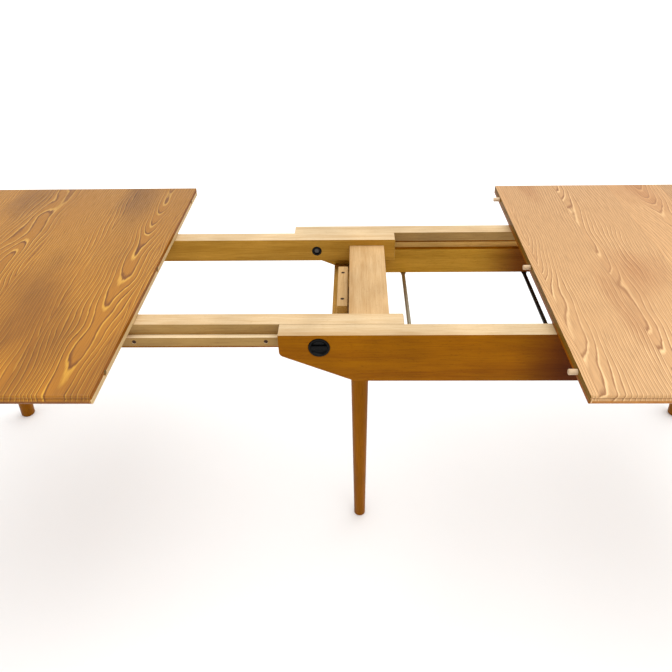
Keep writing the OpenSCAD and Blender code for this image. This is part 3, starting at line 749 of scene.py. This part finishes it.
# depths of the upper bands of the straight edges, which are oiled and also darker as painted shade
OILED_SHADED_BAND = 8.5 * MM
RIGHT_OILED_SHADED_BAND = 12 * MM
score(left_top, (0, 0, top_high.z - OILED_SHADED_BAND), (0, 0, 1))
score(right_top, (0, 0, top_high.z - RIGHT_OILED_SHADED_BAND), (0, 0, 1))


def on_rim(c, n):
    """Is this a face of the moulding that looks outwards or down, which gets painted shade?"""
    return c.z < crease_z and -0.95 < n.z < 0.3 and abs(c.x) > inner_edge + INNER_ROUND


def on_saw_cut(c, n):
    """Is this a face of the straight edge?"""
    return abs(n.x) > 0.7 and abs(c.x) < inner_edge + INNER_ROUND and (n.x > 0) == (c.x < 0)


def in_bore(c, n):
    """Is this a face of a leaf dowel's hole?"""
    inside = -inner_edge - max(HOLE_DEPTHS) - MM < c.x < -inner_edge - 0.2 * MM and abs(n.z) < 0.9
    return inside and min((c - p).yz.length for p in dowel_places) < DOWEL_HOLE_R + 0.1 * MM


finish(right_top, pale_elm)
finish(left_top, golden_elm)
repaint(right_top, pale_rim, on_rim)
repaint(left_top, golden_rim, on_rim)
repaint(right_top, elm_edge_oiled, on_saw_cut)
# painted shade: the lower part of the right half's straight edge, which faces away from the light, gets the
# dark end bearers' finish
repaint(right_top, end_bearer_y, lambda c, n: on_saw_cut(c, n) and c.z < top_high.z - RIGHT_OILED_SHADED_BAND)
repaint(left_top, golden_edge, on_saw_cut)
repaint(left_top, elm_edge, lambda c, n: on_saw_cut(c, n) and c.z < top_high.z - OILED_SHADED_BAND)
repaint(left_top, end_grain, in_bore)
stand_for(right_top, "right_half", "pale_elm", "right_top")
stand_for(left_top, "left_half", "golden_elm", "left_top")
print("tops:", len(right_top.data.polygons), len(left_top.data.polygons), "faces")

# %% [markdown]
# ## The leaf dowels
#
# Three beech dowels stand out of the right half's edge and enter a leaf, or the left half when the table
# is shut. A dowel's tip is chamfered so that it finds its hole.

# %% The leaf dowels
DOWEL_FIT = 0.2 * MM
DOWEL_TIP = 1.1 * MM

dowels = []
for low, high in solids_of("leaf_dowels"):
    middle = (low + high) / 2
    radius = (high.z - low.z) / 2 - DOWEL_FIT
    dowel = turned("dowel", (low.x, middle.y, middle.z), "X", high.x - low.x, radius)
    round_off(dowel, DOWEL_TIP, 3, lambda e: abs(middle_of(e).x - low.x) < 0.1 * MM)
    dowels.append(dowel)
leaf_dowels = joined("leaf_dowels", dowels)
# dowel rod, turned through a die and left bare
raw_dowel = beech("turned_beech_dowel", "X", "#dcc2a0", "#c4a27c", "#a88462", 0.55, seed=14.0)
finish(leaf_dowels, raw_dowel, angle=40)
stand_for(leaf_dowels, "right_half", "raw_beech", "leaf_dowels")
print("dowels:", len(dowels))

# %% [markdown]
# ## Outer rails
#
# Each outer rail is a deep board on edge. Its free end is square at the top and then slopes back under
# itself, with a rounded nose between, so that nobody's knee meets a corner. A groove in its inner face
# carries the runner. The slope is sawn with one bisect, the nose is one bevel whose width comes from the
# radius, and the groove, the lock's recess and the screw sinks are cut like any bore. Only the back rail
# is made, and its twin goes to the front.

# %% Values of the rails
EASED = 0.9 * MM
RELIEF = 1.7 * MM
NOSE_H = 44 * MM
NOSE_R = 10 * MM
SLOPE = math.radians(23.5)
GROOVE_GAP = 0.5 * MM
GROOVE_SPARE = 10 * MM
SINK_R = 5.5 * MM
PAN_H = 3 * MM

rail_low, rail_high = corners("back_outer_rail")
runner_low, runner_high = corners("back_runner")
knob_low, knob_high = corners("back_lock_knob")
knob_mid = (knob_low + knob_high) / 2
knob_r = (knob_high.x - knob_low.x) / 2
rail_top = rail_high.z - RELIEF
joints = frame["record"]["behaviour"]["joints"]
travel = max(joint["range_m"][1] for joint in joints if joint.get("range_m"))
groove_end = runner_high.x + travel + GROOVE_SPARE
print("outer rail:", [round(1000 * (b - a), 1) for a, b in zip(rail_low, rail_high)], "mm; travel", travel)


def screw_sinks(node, low, high):
    """Cutters for the sunk heads of the screws of a node that stand in a bar from low to high."""
    sinks = []
    for screw_low, screw_high in solids_of(node):
        x, y = ((screw_low + screw_high) / 2).xy
        if low.x < x < high.x and low.y < y < high.y:
            depth = screw_low.z + PAN_H - low.z
            sinks.append(turned("sink", (x, y, low.z - MM), "Z", depth + MM, SINK_R, around=32))
    return sinks


# %% The outer rails
rail = block("back_outer_rail", rail_low, rail_high)
cut(rail, [block("relief", (rail_low.x - MM, rail_low.y - MM, rail_top),
                 (inner_edge, rail_high.y + MM, rail_high.z + MM))])
corner_z = rail_top - NOSE_H
pick(rail, "FACE", lambda f: True)
bpy.ops.mesh.bisect(
    plane_co=(rail_low.x, 0, corner_z), plane_no=(-math.sin(SLOPE), 0, -math.cos(SLOPE)),
    use_fill=True, clear_outer=True,
)
done_editing()
round_off(
    rail, NOSE_R * math.tan((math.pi / 2 - SLOPE) / 2), 10,
    lambda e: abs(middle_of(e).x - rail_low.x) < MM and abs(middle_of(e).z - corner_z) < MM
    and abs(e.verts[0].co.y - e.verts[1].co.y) > MM,
)
cut(rail, [block("groove", (rail_low.x - MM, rail_low.y - MM, runner_low.z - GROOVE_GAP),
                 (groove_end, runner_high.y + GROOVE_GAP, runner_high.z + GROOVE_GAP))])


def on_nose(edge):
    """Is this one of the short edges of the rounded nose?"""
    place = middle_of(edge)
    level = abs(edge.verts[0].co.y - edge.verts[1].co.y) < 0.01 * MM
    return level and place.x < rail_low.x + 2 * NOSE_R and abs(place.z - corner_z) < 1.2 * NOSE_R


ease(rail, EASED, also=on_nose)

# %% Bore the rail for its lock
RECESS_GAP = 0.5 * MM
STUD_HOLE_R = 4.5 * MM
CHAMFER = 0.7 * MM

recess_r = knob_r + RECESS_GAP
recess_floor = knob_low.y - RECESS_GAP
for start_y, length, radius, end_radius in (
    (recess_floor, rail_high.y - recess_floor + MM, recess_r, recess_r),
    (rail_high.y - CHAMFER, 2 * CHAMFER, recess_r, recess_r + 2 * CHAMFER),
):
    start = (knob_mid.x, start_y, knob_mid.z)
    cut(rail, [turned("recess", start, "Y", length, radius, end_radius, around=64)])
start = (knob_mid.x, rail_low.y - MM, knob_mid.z)
cut(rail, [turned("stud_hole", start, "Y", rail_high.y - rail_low.y, STUD_HOLE_R)])
cut(rail, screw_sinks("right_top_screws", rail_low, rail_high))
print("lock recess:", round(2000 * recess_r, 1), "mm across")

# %% Finish the rails
# depth of the band of painted shade at the top of the groove's floor, under the lip
LIP_SHADE_BAND = 7.5 * MM

inner_face_y = rail_low.y + MM
groove_floor_y = rail_low.y + 5 * MM
score(rail, (0, 0, runner_high.z + GROOVE_GAP), (0, 0, 1))
score(rail, (0, 0, runner_high.z - LIP_SHADE_BAND), (0, 0, 1))
finish(rail, oiled_x)
repaint(rail, oiled_inner_x, lambda c, n: n.y < -0.5 and c.y < inner_face_y)
repaint(rail, runner_x, lambda c, n: n.y < -0.5 and c.y < inner_face_y and c.z > runner_high.z)
repaint(rail, groove_x, lambda c, n: n.y < -0.5 and c.y > groove_floor_y)
# painted shade: the band at the top of the groove's floor, under the lip, gets the dark oiled_z finish
repaint(
    rail, oiled_z,
    lambda c, n: n.y < -0.5 and c.y > groove_floor_y and c.z > runner_high.z - LIP_SHADE_BAND,
)
# painted shade: the groove's ledges get the dark oiled_z finish
repaint(rail, oiled_z, lambda c, n: abs(n.z) > 0.6 and runner_low.z - MM < c.z < runner_high.z + MM)
repaint(rail, planed_x, lambda c, n: n.z > 0.6 and c.z > rail_top - 2 * MM)
repaint(rail, end_grain, lambda c, n: n.x < -0.8)
front_rail = twin(rail, "front_outer_rail", "Y")
stand_for(rail, "right_half", "oiled_beech", "back_outer_rail")
stand_for(front_rail, "right_half", "oiled_beech", "front_outer_rail")
print("outer rail:", len(rail.data.polygons), "faces")

# %% [markdown]
# ## Slide rails and runners
#
# The slide rails belong to the left half. They are shallower bars that pass inside the outer rails, and
# each carries a runner strip on its outer face, held by countersunk screws. The strip's arrises are rubbed
# round, because it slides. A rail is a block with its relief sawn, its free end rounded on top, and the
# holes of the two lock collars bored through.

# %% The slide rails
COLLAR_BODY_R = 8.5 * MM
SLIDE_NOSE = 3 * MM

slide_low, slide_high = corners("back_slide_rail")
collar_boxes = [box for box in solids_of("lock_collars") if box[0].y > 0]
slide = block("back_slide_rail", slide_low, slide_high)
cut(slide, [block("relief", (-inner_edge, slide_low.y - MM, rail_top), slide_high + Vector((MM, MM, MM)))])
round_off(
    slide, SLIDE_NOSE, 4,
    lambda e: abs(middle_of(e).x - slide_high.x) < MM and abs(middle_of(e).z - rail_top) < MM,
)
ease(slide, EASED)
collar_places = [(low + high) / 2 for low, high in collar_boxes]
through = slide_high.y - slide_low.y + 2 * MM
cut(slide, [
    turned("collar_hole", (p.x, slide_low.y - MM, p.z), "Y", through, COLLAR_BODY_R)
    for p in collar_places
])
cut(slide, screw_sinks("left_top_screws", slide_low, slide_high))
score(slide, (0, 0, runner_low.z), (0, 0, 1))
finish(slide, waxed_x)
repaint(slide, runner_x, lambda c, n: n.y > 0.5)
# painted shade: the strip of the outer face below the runner, and the underside, get the dark oiled_z
# finish
repaint(slide, oiled_z, lambda c, n: n.y > 0.5 and c.z < runner_low.z or n.z < -0.6)
repaint(slide, planed_x, lambda c, n: n.z > 0.6)
repaint(slide, end_grain, lambda c, n: n.x > 0.8)
front_slide = twin(slide, "front_slide_rail", "Y")
stand_for(slide, "left_half", "raw_beech", "back_slide_rail")
stand_for(front_slide, "left_half", "raw_beech", "front_slide_rail")
print("slide rail:", len(slide.data.polygons), "faces; collars at", [round(p.x, 3) for p in collar_places])

# %% The runners
CSK_R = 4 * MM
CSK_H = 3 * MM
CSK_ROOM = 0.4 * MM
SCREW_R = 2 * MM
SUNK = 0.4 * MM
RUBBED = 1.2 * MM

runner_screw_xs = [p.x for p in centres_of("runner_screws") if p.y > 0]
runner_mid_z = (runner_low.z + runner_high.z) / 2
runner = block("back_runner", runner_low, runner_high)
ease(runner, RUBBED)
cut(runner, [
    turned("csk", (x, runner_high.y - CSK_H, runner_mid_z), "Y", CSK_H + SUNK,
           SCREW_R + 0.1 * MM, CSK_R + CSK_ROOM, around=32)
    for x in runner_screw_xs
])
through = runner_high.y - runner_low.y + 2 * MM
cut(runner, [
    turned("stud_hole", (p.x, runner_low.y - MM, p.z), "Y", through, STUD_HOLE_R)
    for p in collar_places
])
finish(runner, runner_x)
# beech painted paler on the runner's top: painted light, as this face lies in more shade here than it
# should
runner_top_lit = beech("runner_top_lit_beech", "X", "#f3dfbc", "#dbc093", "#ba9a6b", 0.45, seed=16.0)
repaint(runner, runner_top_lit, lambda c, n: n.z > 0.3)
repaint(runner, end_grain, lambda c, n: abs(n.x) > 0.8)
front_runner = twin(runner, "front_runner", "Y")
stand_for(runner, "left_half", "raw_beech", "back_runner")
stand_for(front_runner, "left_half", "raw_beech", "front_runner")
print("runner screws at", [round(x, 3) for x in runner_screw_xs])

# %% [markdown]
# ## Screws and bolts
#
# A fixing shows only its head, so the head gets the work: a cone for a countersunk screw, a low dome for
# a pan head, and a cross or hexagon sunk into it. One of each is made on the Z axis at the origin, and
# copies are turned and moved to where the frame has one.

# %% Make one of each fixing
PAN_R = 5 * MM
PAN_DOME = 1.3 * MM
PAN_CROSS = 1.5 * MM


def cross_recess(size, depth, z):
    """Two crossed slots that end in the middle of a head whose face is at z."""
    slots = []
    for wide, deep in ((size, size / 4), (size / 4, size)):
        slots.append(block("slot", (-wide / 2, -deep / 2, z - depth), (wide / 2, deep / 2, z + MM)))
    return slots


def csk_screw(length):
    """A countersunk wood screw that points down from z = 0."""
    shank = turned("shank", (0, 0, -length), "Z", length - CSK_H, SCREW_R * 0.4, SCREW_R, around=24)
    head = turned("head", (0, 0, -CSK_H), "Z", CSK_H, SCREW_R, CSK_R, around=32)
    for slot in cross_recess(4.2 * MM, 1.4 * MM, 0):
        cut(head, [slot])
    return joined("csk_screw", [head, shank])


def pan_screw(length):
    """A pan-head wood screw that points up from z = 0, its head below."""
    shank = turned("shank", (0, 0, 0), "Z", length, 2.5 * MM, 1 * MM, around=24)
    head = turned("head", (0, 0, -PAN_H), "Z", PAN_H, PAN_R, around=32)
    round_off(head, PAN_DOME, 4, lambda e: middle_of(e).z < -PAN_H + 0.1 * MM)
    for slot in cross_recess(4.6 * MM, PAN_CROSS, 0):
        slot.data.transform(Matrix.Translation((0, 0, -PAN_H + PAN_CROSS - MM)))
        cut(head, [slot])
    return joined("pan_screw", [head, shank])


def place_all(name, model, spots, turn=None):
    """Copies of a fixing, each turned and moved to its spot, as one piece. The model is used up."""
    copies = []
    for spot in spots:
        copy = twin(model, "copy")
        copy.data.transform(Matrix.Translation(spot) @ (turn(spot) if turn else Matrix()))
        copies.append(copy)
    bpy.data.objects.remove(model)
    return joined(name, copies)


def facing_y(spot):
    """Turns a fixing that points down so that its head faces out, to the front or the back."""
    return Matrix.Rotation(math.copysign(math.pi / 2, -spot.y), 4, "X")


# %% The wood screws
spots = []
for low, high in solids_of("runner_screws"):
    spot = (low + high) / 2
    spot.y = high.y - SUNK if high.y > 0 else low.y + SUNK
    spots.append(spot)
runner_screws = place_all("runner_screws", csk_screw(high.y - low.y - SUNK), spots, facing_y)
finish(runner_screws, browned_steel)
stand_for(runner_screws, "left_half", "bright_steel", "runner_screws")

for side in ("left", "right"):
    node = side + "_top_screws"
    boxes = solids_of(node)
    spots = [Vector((*((low + high) / 2).xy, low.z + PAN_H)) for low, high in boxes]
    low, high = boxes[0]
    screws = place_all(node, pan_screw(high.z - low.z - PAN_H), spots)
    finish(screws, bright_steel)
    stand_for(screws, side + "_half", "bright_steel", node)
    print(node, len(spots))

# %% [markdown]
# ## Plank, bearer and stop block
#
# A flat plank ties the free ends of the slide rails. Below it a bearer joins the outer rails, carries the
# centre leg, and has a stop block screwed to its top, which the plank meets when the table is fully open.
# All three are planed blocks with eased arrises, and the block has two countersunk screws.

# %% The plank, bearer and stop block
plank_low, plank_high = corners("tie_plank")
plank = block("tie_plank", plank_low, plank_high)
ease(plank, EASED)
finish(plank, planed_y)
repaint(plank, end_grain, lambda c, n: abs(n.y) > 0.8)
stand_for(plank, "left_half", "raw_beech", "tie_plank")

bolt_low, bolt_high = corners("centre_leg_bolt")
BOLT_HEAD_H = 6 * MM
BOLT_HEAD_R = 10 * MM
bearer_low, bearer_high = corners("centre_bearer")
bearer = block("centre_bearer", bearer_low, bearer_high)
ease(bearer, EASED)
start = ((bolt_low.x + bolt_high.x) / 2, 0, bolt_high.z - BOLT_HEAD_H)
cut(bearer, [turned("bolt_sink", start, "Z", 3 * BOLT_HEAD_H, BOLT_HEAD_R + 0.5 * MM)])
finish(bearer, oiled_y)
stand_for(bearer, "right_half", "oiled_beech", "centre_bearer")

stop_low, stop_high = corners("stop_block")
low, high = solids_of("stop_block_screws")[0]
stop_spots = [Vector((p.x, p.y, high.z - SUNK)) for p in centres_of("stop_block_screws")]
stop = block("stop_block", stop_low, stop_high)
ease(stop, EASED)
cut(stop, [
    turned("csk", (p.x, p.y, stop_high.z - CSK_H), "Z", CSK_H + SUNK, SCREW_R, CSK_R + CSK_ROOM, around=32)
    for p in stop_spots
])
# planed and left bare, a little darker than the plank
stop_finish = beech("planed_beech_stop", "Y", "#c6a26e", "#a9824d", "#805f37", 0.5, seed=15.0)
finish(stop, stop_finish)
repaint(stop, oiled_y, lambda c, n: abs(n.y) > 0.8)
stand_for(stop, "right_half", "raw_beech", "stop_block")
stop_screws = place_all("stop_block_screws", csk_screw(high.z - low.z - SUNK), stop_spots)
finish(stop_screws, browned_steel)
stand_for(stop_screws, "right_half", "bright_steel", "stop_block_screws")
print("stop screws:", len(stop_spots))

# %% [markdown]
# ## Legs
#
# The legs are turned tapers. A cone is the right start, since a leg is one, with the foot's edge rounded
# over. The end legs lean outwards both ways but stay level at both ends: the top ring of an upright cone
# is moved sideways, which keeps both ends flat where a turned cone's would tip.

# %% The legs
FOOT_R, LEG_R = 19.5 * MM, 27 * MM
CENTRE_FOOT_R, CENTRE_LEG_R = 14 * MM, 21 * MM
FOOT_EDGE = 3 * MM


def leg(name, foot, head, foot_r, head_r):
    """A turned leg from the middle of its foot on the floor to the middle of its top."""
    piece = turned(name, foot, "Z", head.z, foot_r, head_r, around=64)
    pick(piece, "EDGE", lambda e: e.verts[0].co.z > 0.9 * head.z and e.verts[1].co.z > 0.9 * head.z)
    bpy.ops.transform.translate(value=(head.x - foot.x, head.y - foot.y, 0))
    done_editing()
    round_off(piece, FOOT_EDGE, 4, lambda e: middle_of(e).z < MM)
    return finish(piece, oiled_z, angle=50)


for node in ("front_left_leg", "back_left_leg", "front_right_leg", "back_right_leg"):
    side, depth = (-1 if "left" in node else 1), (-1 if "front" in node else 1)
    low, high = corners(node)
    middle, reach = (low + high) / 2, (high - low) / 2
    foot = Vector((middle.x + side * (reach.x - FOOT_R), middle.y + depth * (reach.y - FOOT_R), 0))
    head = Vector((middle.x - side * (reach.x - LEG_R), middle.y - depth * (reach.y - LEG_R), high.z))
    half = "left_half" if side < 0 else "right_half"
    stand_for(leg(node, foot, head, FOOT_R, LEG_R), half, "oiled_beech", node)
low, high = corners("centre_leg")
foot = Vector((*((low + high) / 2).xy, 0))
head = Vector((foot.x, foot.y, high.z))
centre_leg = leg("centre_leg", foot, head, CENTRE_FOOT_R, CENTRE_LEG_R)
stand_for(centre_leg, "right_half", "oiled_beech", "centre_leg")
print("centre leg:", round(1000 * high.z, 1), "mm tall")

# %% [markdown]
# ## End bearers and bolts
#
# Under each end a bearer runs across, between the tops of the two legs. It is screwed up into the top and
# bolted to the rails from its outer face, with the bolt heads sunk out of the way.

# %% The end bearers
RAIL_BOLT_R = 3 * MM
RAIL_BOLT_HEAD_R = 6.5 * MM
RAIL_BOLT_HEAD_H = 4 * MM
RAIL_BOLT_SINK = 8 * MM
HEAD_ROOM = 0.5 * MM
BEARER_EASE = 1.5 * MM
HEAD_EASE = 0.8 * MM
HEXAGON_R = 2.9 * MM

for side, half in ((-1, "left"), (1, "right")):
    low, high = corners(half + "_end_bearer")
    bearer_piece = block(half + "_end_bearer", low, high)
    ease(bearer_piece, BEARER_EASE)
    outside = high.x if side > 0 else low.x
    sink_x = outside - RAIL_BOLT_SINK if side > 0 else outside - MM
    holes, spots = [], []
    for p in centres_of(half + "_rail_bolts"):
        start = (sink_x, p.y, p.z)
        holes.append(turned("bolt_hole", start, "X", RAIL_BOLT_SINK + MM, RAIL_BOLT_HEAD_R + HEAD_ROOM))
        spots.append(Vector((outside - side * (RAIL_BOLT_SINK - RAIL_BOLT_HEAD_H), p.y, p.z)))
    cut(bearer_piece, holes)
    cut(bearer_piece, screw_sinks(half + "_top_screws", low, high))
    finish(bearer_piece, end_bearer_y)
    repaint(bearer_piece, end_grain, lambda c, n: abs(n.y) > 0.8)
    stand_for(bearer_piece, half + "_half", "oiled_beech", half + "_end_bearer")

    low, high = solids_of(half + "_rail_bolts")[0]
    length = high.x - low.x
    bolt = turned("bolt", (0, 0, -length), "Z", length - RAIL_BOLT_HEAD_H / 2, RAIL_BOLT_R, around=24)
    bolt_head = turned("bolt_head", (0, 0, -RAIL_BOLT_HEAD_H), "Z", RAIL_BOLT_HEAD_H, RAIL_BOLT_HEAD_R)
    round_off(bolt_head, HEAD_EASE, 3, lambda e: middle_of(e).z > -0.1 * MM)
    start = (0, 0, -0.7 * RAIL_BOLT_HEAD_H)
    cut(bolt_head, [turned("hexagon", start, "Z", RAIL_BOLT_HEAD_H, HEXAGON_R, around=6)])
    bolt_model = joined("bolt_model", [bolt_head, bolt])
    outwards = Matrix.Rotation(side * math.pi / 2, 4, "Y")
    bolts = place_all(half + "_rail_bolts", bolt_model, spots, lambda spot: outwards)
    finish(bolts, bright_steel)
    stand_for(bolts, half + "_half", "bright_steel", half + "_rail_bolts")
    print(half, "end bearer:", len(holes), "bolts")

# %% [markdown]
# ## Leaf rods
#
# Three steel rods cross under the outer rails and carry the folded leaf. Each is a plain rod whose ends
# have been pressed flat, so that a screw can hold them to the rail. The end face of the rod is extruded
# twice, widened and thinned on the way, which is just what the press does.

# %% The leaf rods
TAB_W, TAB_T = 14 * MM, 3 * MM
PRESSED = 9 * MM
ROD_ROUND_SHORT = 4 * MM

ROD_FINISHES = {
    "inner_leaf_rod": drawn_steel, "middle_leaf_rod": black_steel, "outer_leaf_rod": black_steel,
}

round_half = rail_low.y - ROD_ROUND_SHORT
for node, rod_finish in ROD_FINISHES.items():
    low, high = corners(node)
    middle, radius = (low + high) / 2, (high.z - low.z) / 2
    rod = turned(node, (middle.x, -round_half, middle.z), "Y", 2 * round_half, radius, around=32)
    for end in (-1, 1):
        pick(rod, "FACE", lambda f: f.normal.y * end > 0.9)
        flat = high.y - round_half - PRESSED - TAB_W / 4
        for along, up, resize in (
            (PRESSED, radius - TAB_T / 2, (TAB_W / (2 * radius), 1, TAB_T / (2 * radius))),
            (flat, 0, (1, 1, 1)),
            (TAB_W / 4, 0, (0.6, 1, 1)),
        ):
            bpy.ops.mesh.extrude_region_move(TRANSFORM_OT_translate={"value": (0, end * along, up)})
            bpy.ops.transform.resize(value=resize)
        done_editing()
    finish(rod, rod_finish, angle=40)
    stand_for(rod, "right_half", "bright_steel", node)
screw_boxes = solids_of("leaf_rod_screws")
under = min(low.z for low, high in screw_boxes)
spots = [Vector((p.x, p.y, under)) for p in centres_of("leaf_rod_screws")]
model = csk_screw(max(high.z - low.z for low, high in screw_boxes))
upwards = Matrix.Rotation(math.pi, 4, "X")
rod_screws = place_all("leaf_rod_screws", model, spots, lambda spot: upwards)
finish(rod_screws, browned_steel)
stand_for(rod_screws, "right_half", "bright_steel", "leaf_rod_screws")
print("leaf rods at", [round(corners(node)[0].x, 3) for node in ROD_FINISHES])

# %% [markdown]
# ## Lock knobs and collars
#
# A black knob is let into each outer rail, and turning its grip drives a steel stud into the slide rail.
# The knob is a disc whose face is dished by insets, with a bar left standing across the dish for finger
# and thumb. In the slide rail the stud meets a steel bush inside a black collar, whose lip shows on the
# inner face.

# %% The lock knobs
RIM = 3.5 * MM
RIM_EASE = 0.9 * MM
DISH = 3.5 * MM
GRIP_H = 6 * MM
GRIP_EASE = 1.7 * MM

face_y = knob_high.y
start = (knob_mid.x, knob_low.y, knob_mid.z)
knob = turned("back_lock_knob", start, "Y", face_y - knob_low.y, knob_r, around=64)
round_off(knob, RIM_EASE, 3, lambda e: abs(middle_of(e).y - face_y) < 0.01 * MM)
pick(knob, "FACE", lambda f: f.normal.y > 0.99)
bpy.ops.mesh.inset(thickness=RIM - RIM_EASE)
bpy.ops.mesh.inset(thickness=1.6 * MM, depth=-0.7 * DISH)
bpy.ops.mesh.inset(thickness=2.5 * MM, depth=-0.3 * DISH)
done_editing()
grip = block(
    "grip", (knob_mid.x - knob_r + RIM, face_y - DISH - MM, knob_mid.z - GRIP_H / 2),
    (knob_mid.x + knob_r - RIM, face_y - 0.3 * MM, knob_mid.z + GRIP_H / 2),
)
round_off(grip, GRIP_EASE, 5, lambda e: middle_of(e).y > face_y - MM)
cut(knob, [grip], "UNION")
finish(knob, black_nylon, angle=35)
front_knob = twin(knob, "front_lock_knob", "Y")
stand_for(knob, "back_lock", "black_nylon", "back_lock_knob")
stand_for(front_knob, "front_lock", "black_nylon", "front_lock_knob")
print("knob:", round(2000 * knob_r, 1), "mm across,", len(knob.data.polygons), "faces")

# %% The collars and bushes
LIP = 1.5 * MM
LIP_EASE = 1.1 * MM
BUSH_R = 6.5 * MM
BUSH_BACK = 2.4 * MM
BUSH_FIT = 0.05 * MM

collars, bushes = [], []
for low, high in collar_boxes:
    x, z = (low.x + high.x) / 2, (low.z + high.z) / 2
    radius = (high.x - low.x) / 2
    lip = turned("lip", (x, low.y, z), "Y", LIP, radius)
    round_off(lip, LIP_EASE, 4, lambda e: abs(middle_of(e).y - low.y) < 0.01 * MM)
    body = turned("collar", (x, low.y + LIP / 2, z), "Y", high.y - low.y - LIP / 2, COLLAR_BODY_R)
    cut(lip, [body], "UNION")
    cut(lip, [turned("bore", (x, low.y - MM, z), "Y", high.y - low.y + 2 * MM, BUSH_R)])
    collars.append(lip)
    bush = turned("bush", (x, low.y + BUSH_BACK, z), "Y", high.y - low.y - BUSH_BACK, BUSH_R - BUSH_FIT)
    pick(bush, "FACE", lambda f: f.normal.y < -0.9)
    bpy.ops.mesh.inset(thickness=1.2 * MM, depth=0.5 * MM)
    bpy.ops.mesh.inset(thickness=1.8 * MM, depth=0.2 * MM)
    done_editing()
    cut(bush, [turned("stud_hole", (x, low.y + LIP + 6 * MM, z), "Y", high.y - low.y, STUD_HOLE_R)])
    bushes.append(bush)
collars += [twin(c, "collar", "Y") for c in list(collars)]
bushes += [twin(b, "bush", "Y") for b in list(bushes)]
lock_collars = finish(joined("lock_collars", collars), black_nylon)
lock_bushes = finish(joined("lock_bushes", bushes), bush_steel)
stand_for(lock_collars, "left_half", "black_nylon", "lock_collars")
stand_for(lock_bushes, "left_half", "bright_steel", "lock_bushes")
print("collars:", len(collar_boxes) * 2)

# %% [markdown]
# ## What stays as it came
#
# The barrel nuts, studs, bolts and glued dowels sit inside the wood and their shape is already right, so
# they keep their frame meshes and only get a finish.

# %% Finish the hidden parts
for name, node in frame["nodes"].items():
    if node.hide_render:
        continue
    hidden_finish = raw_dowel if "dowels" in name else bright_steel
    for slot in node.material_slots:
        slot.material = hidden_finish
    print("kept:", name)
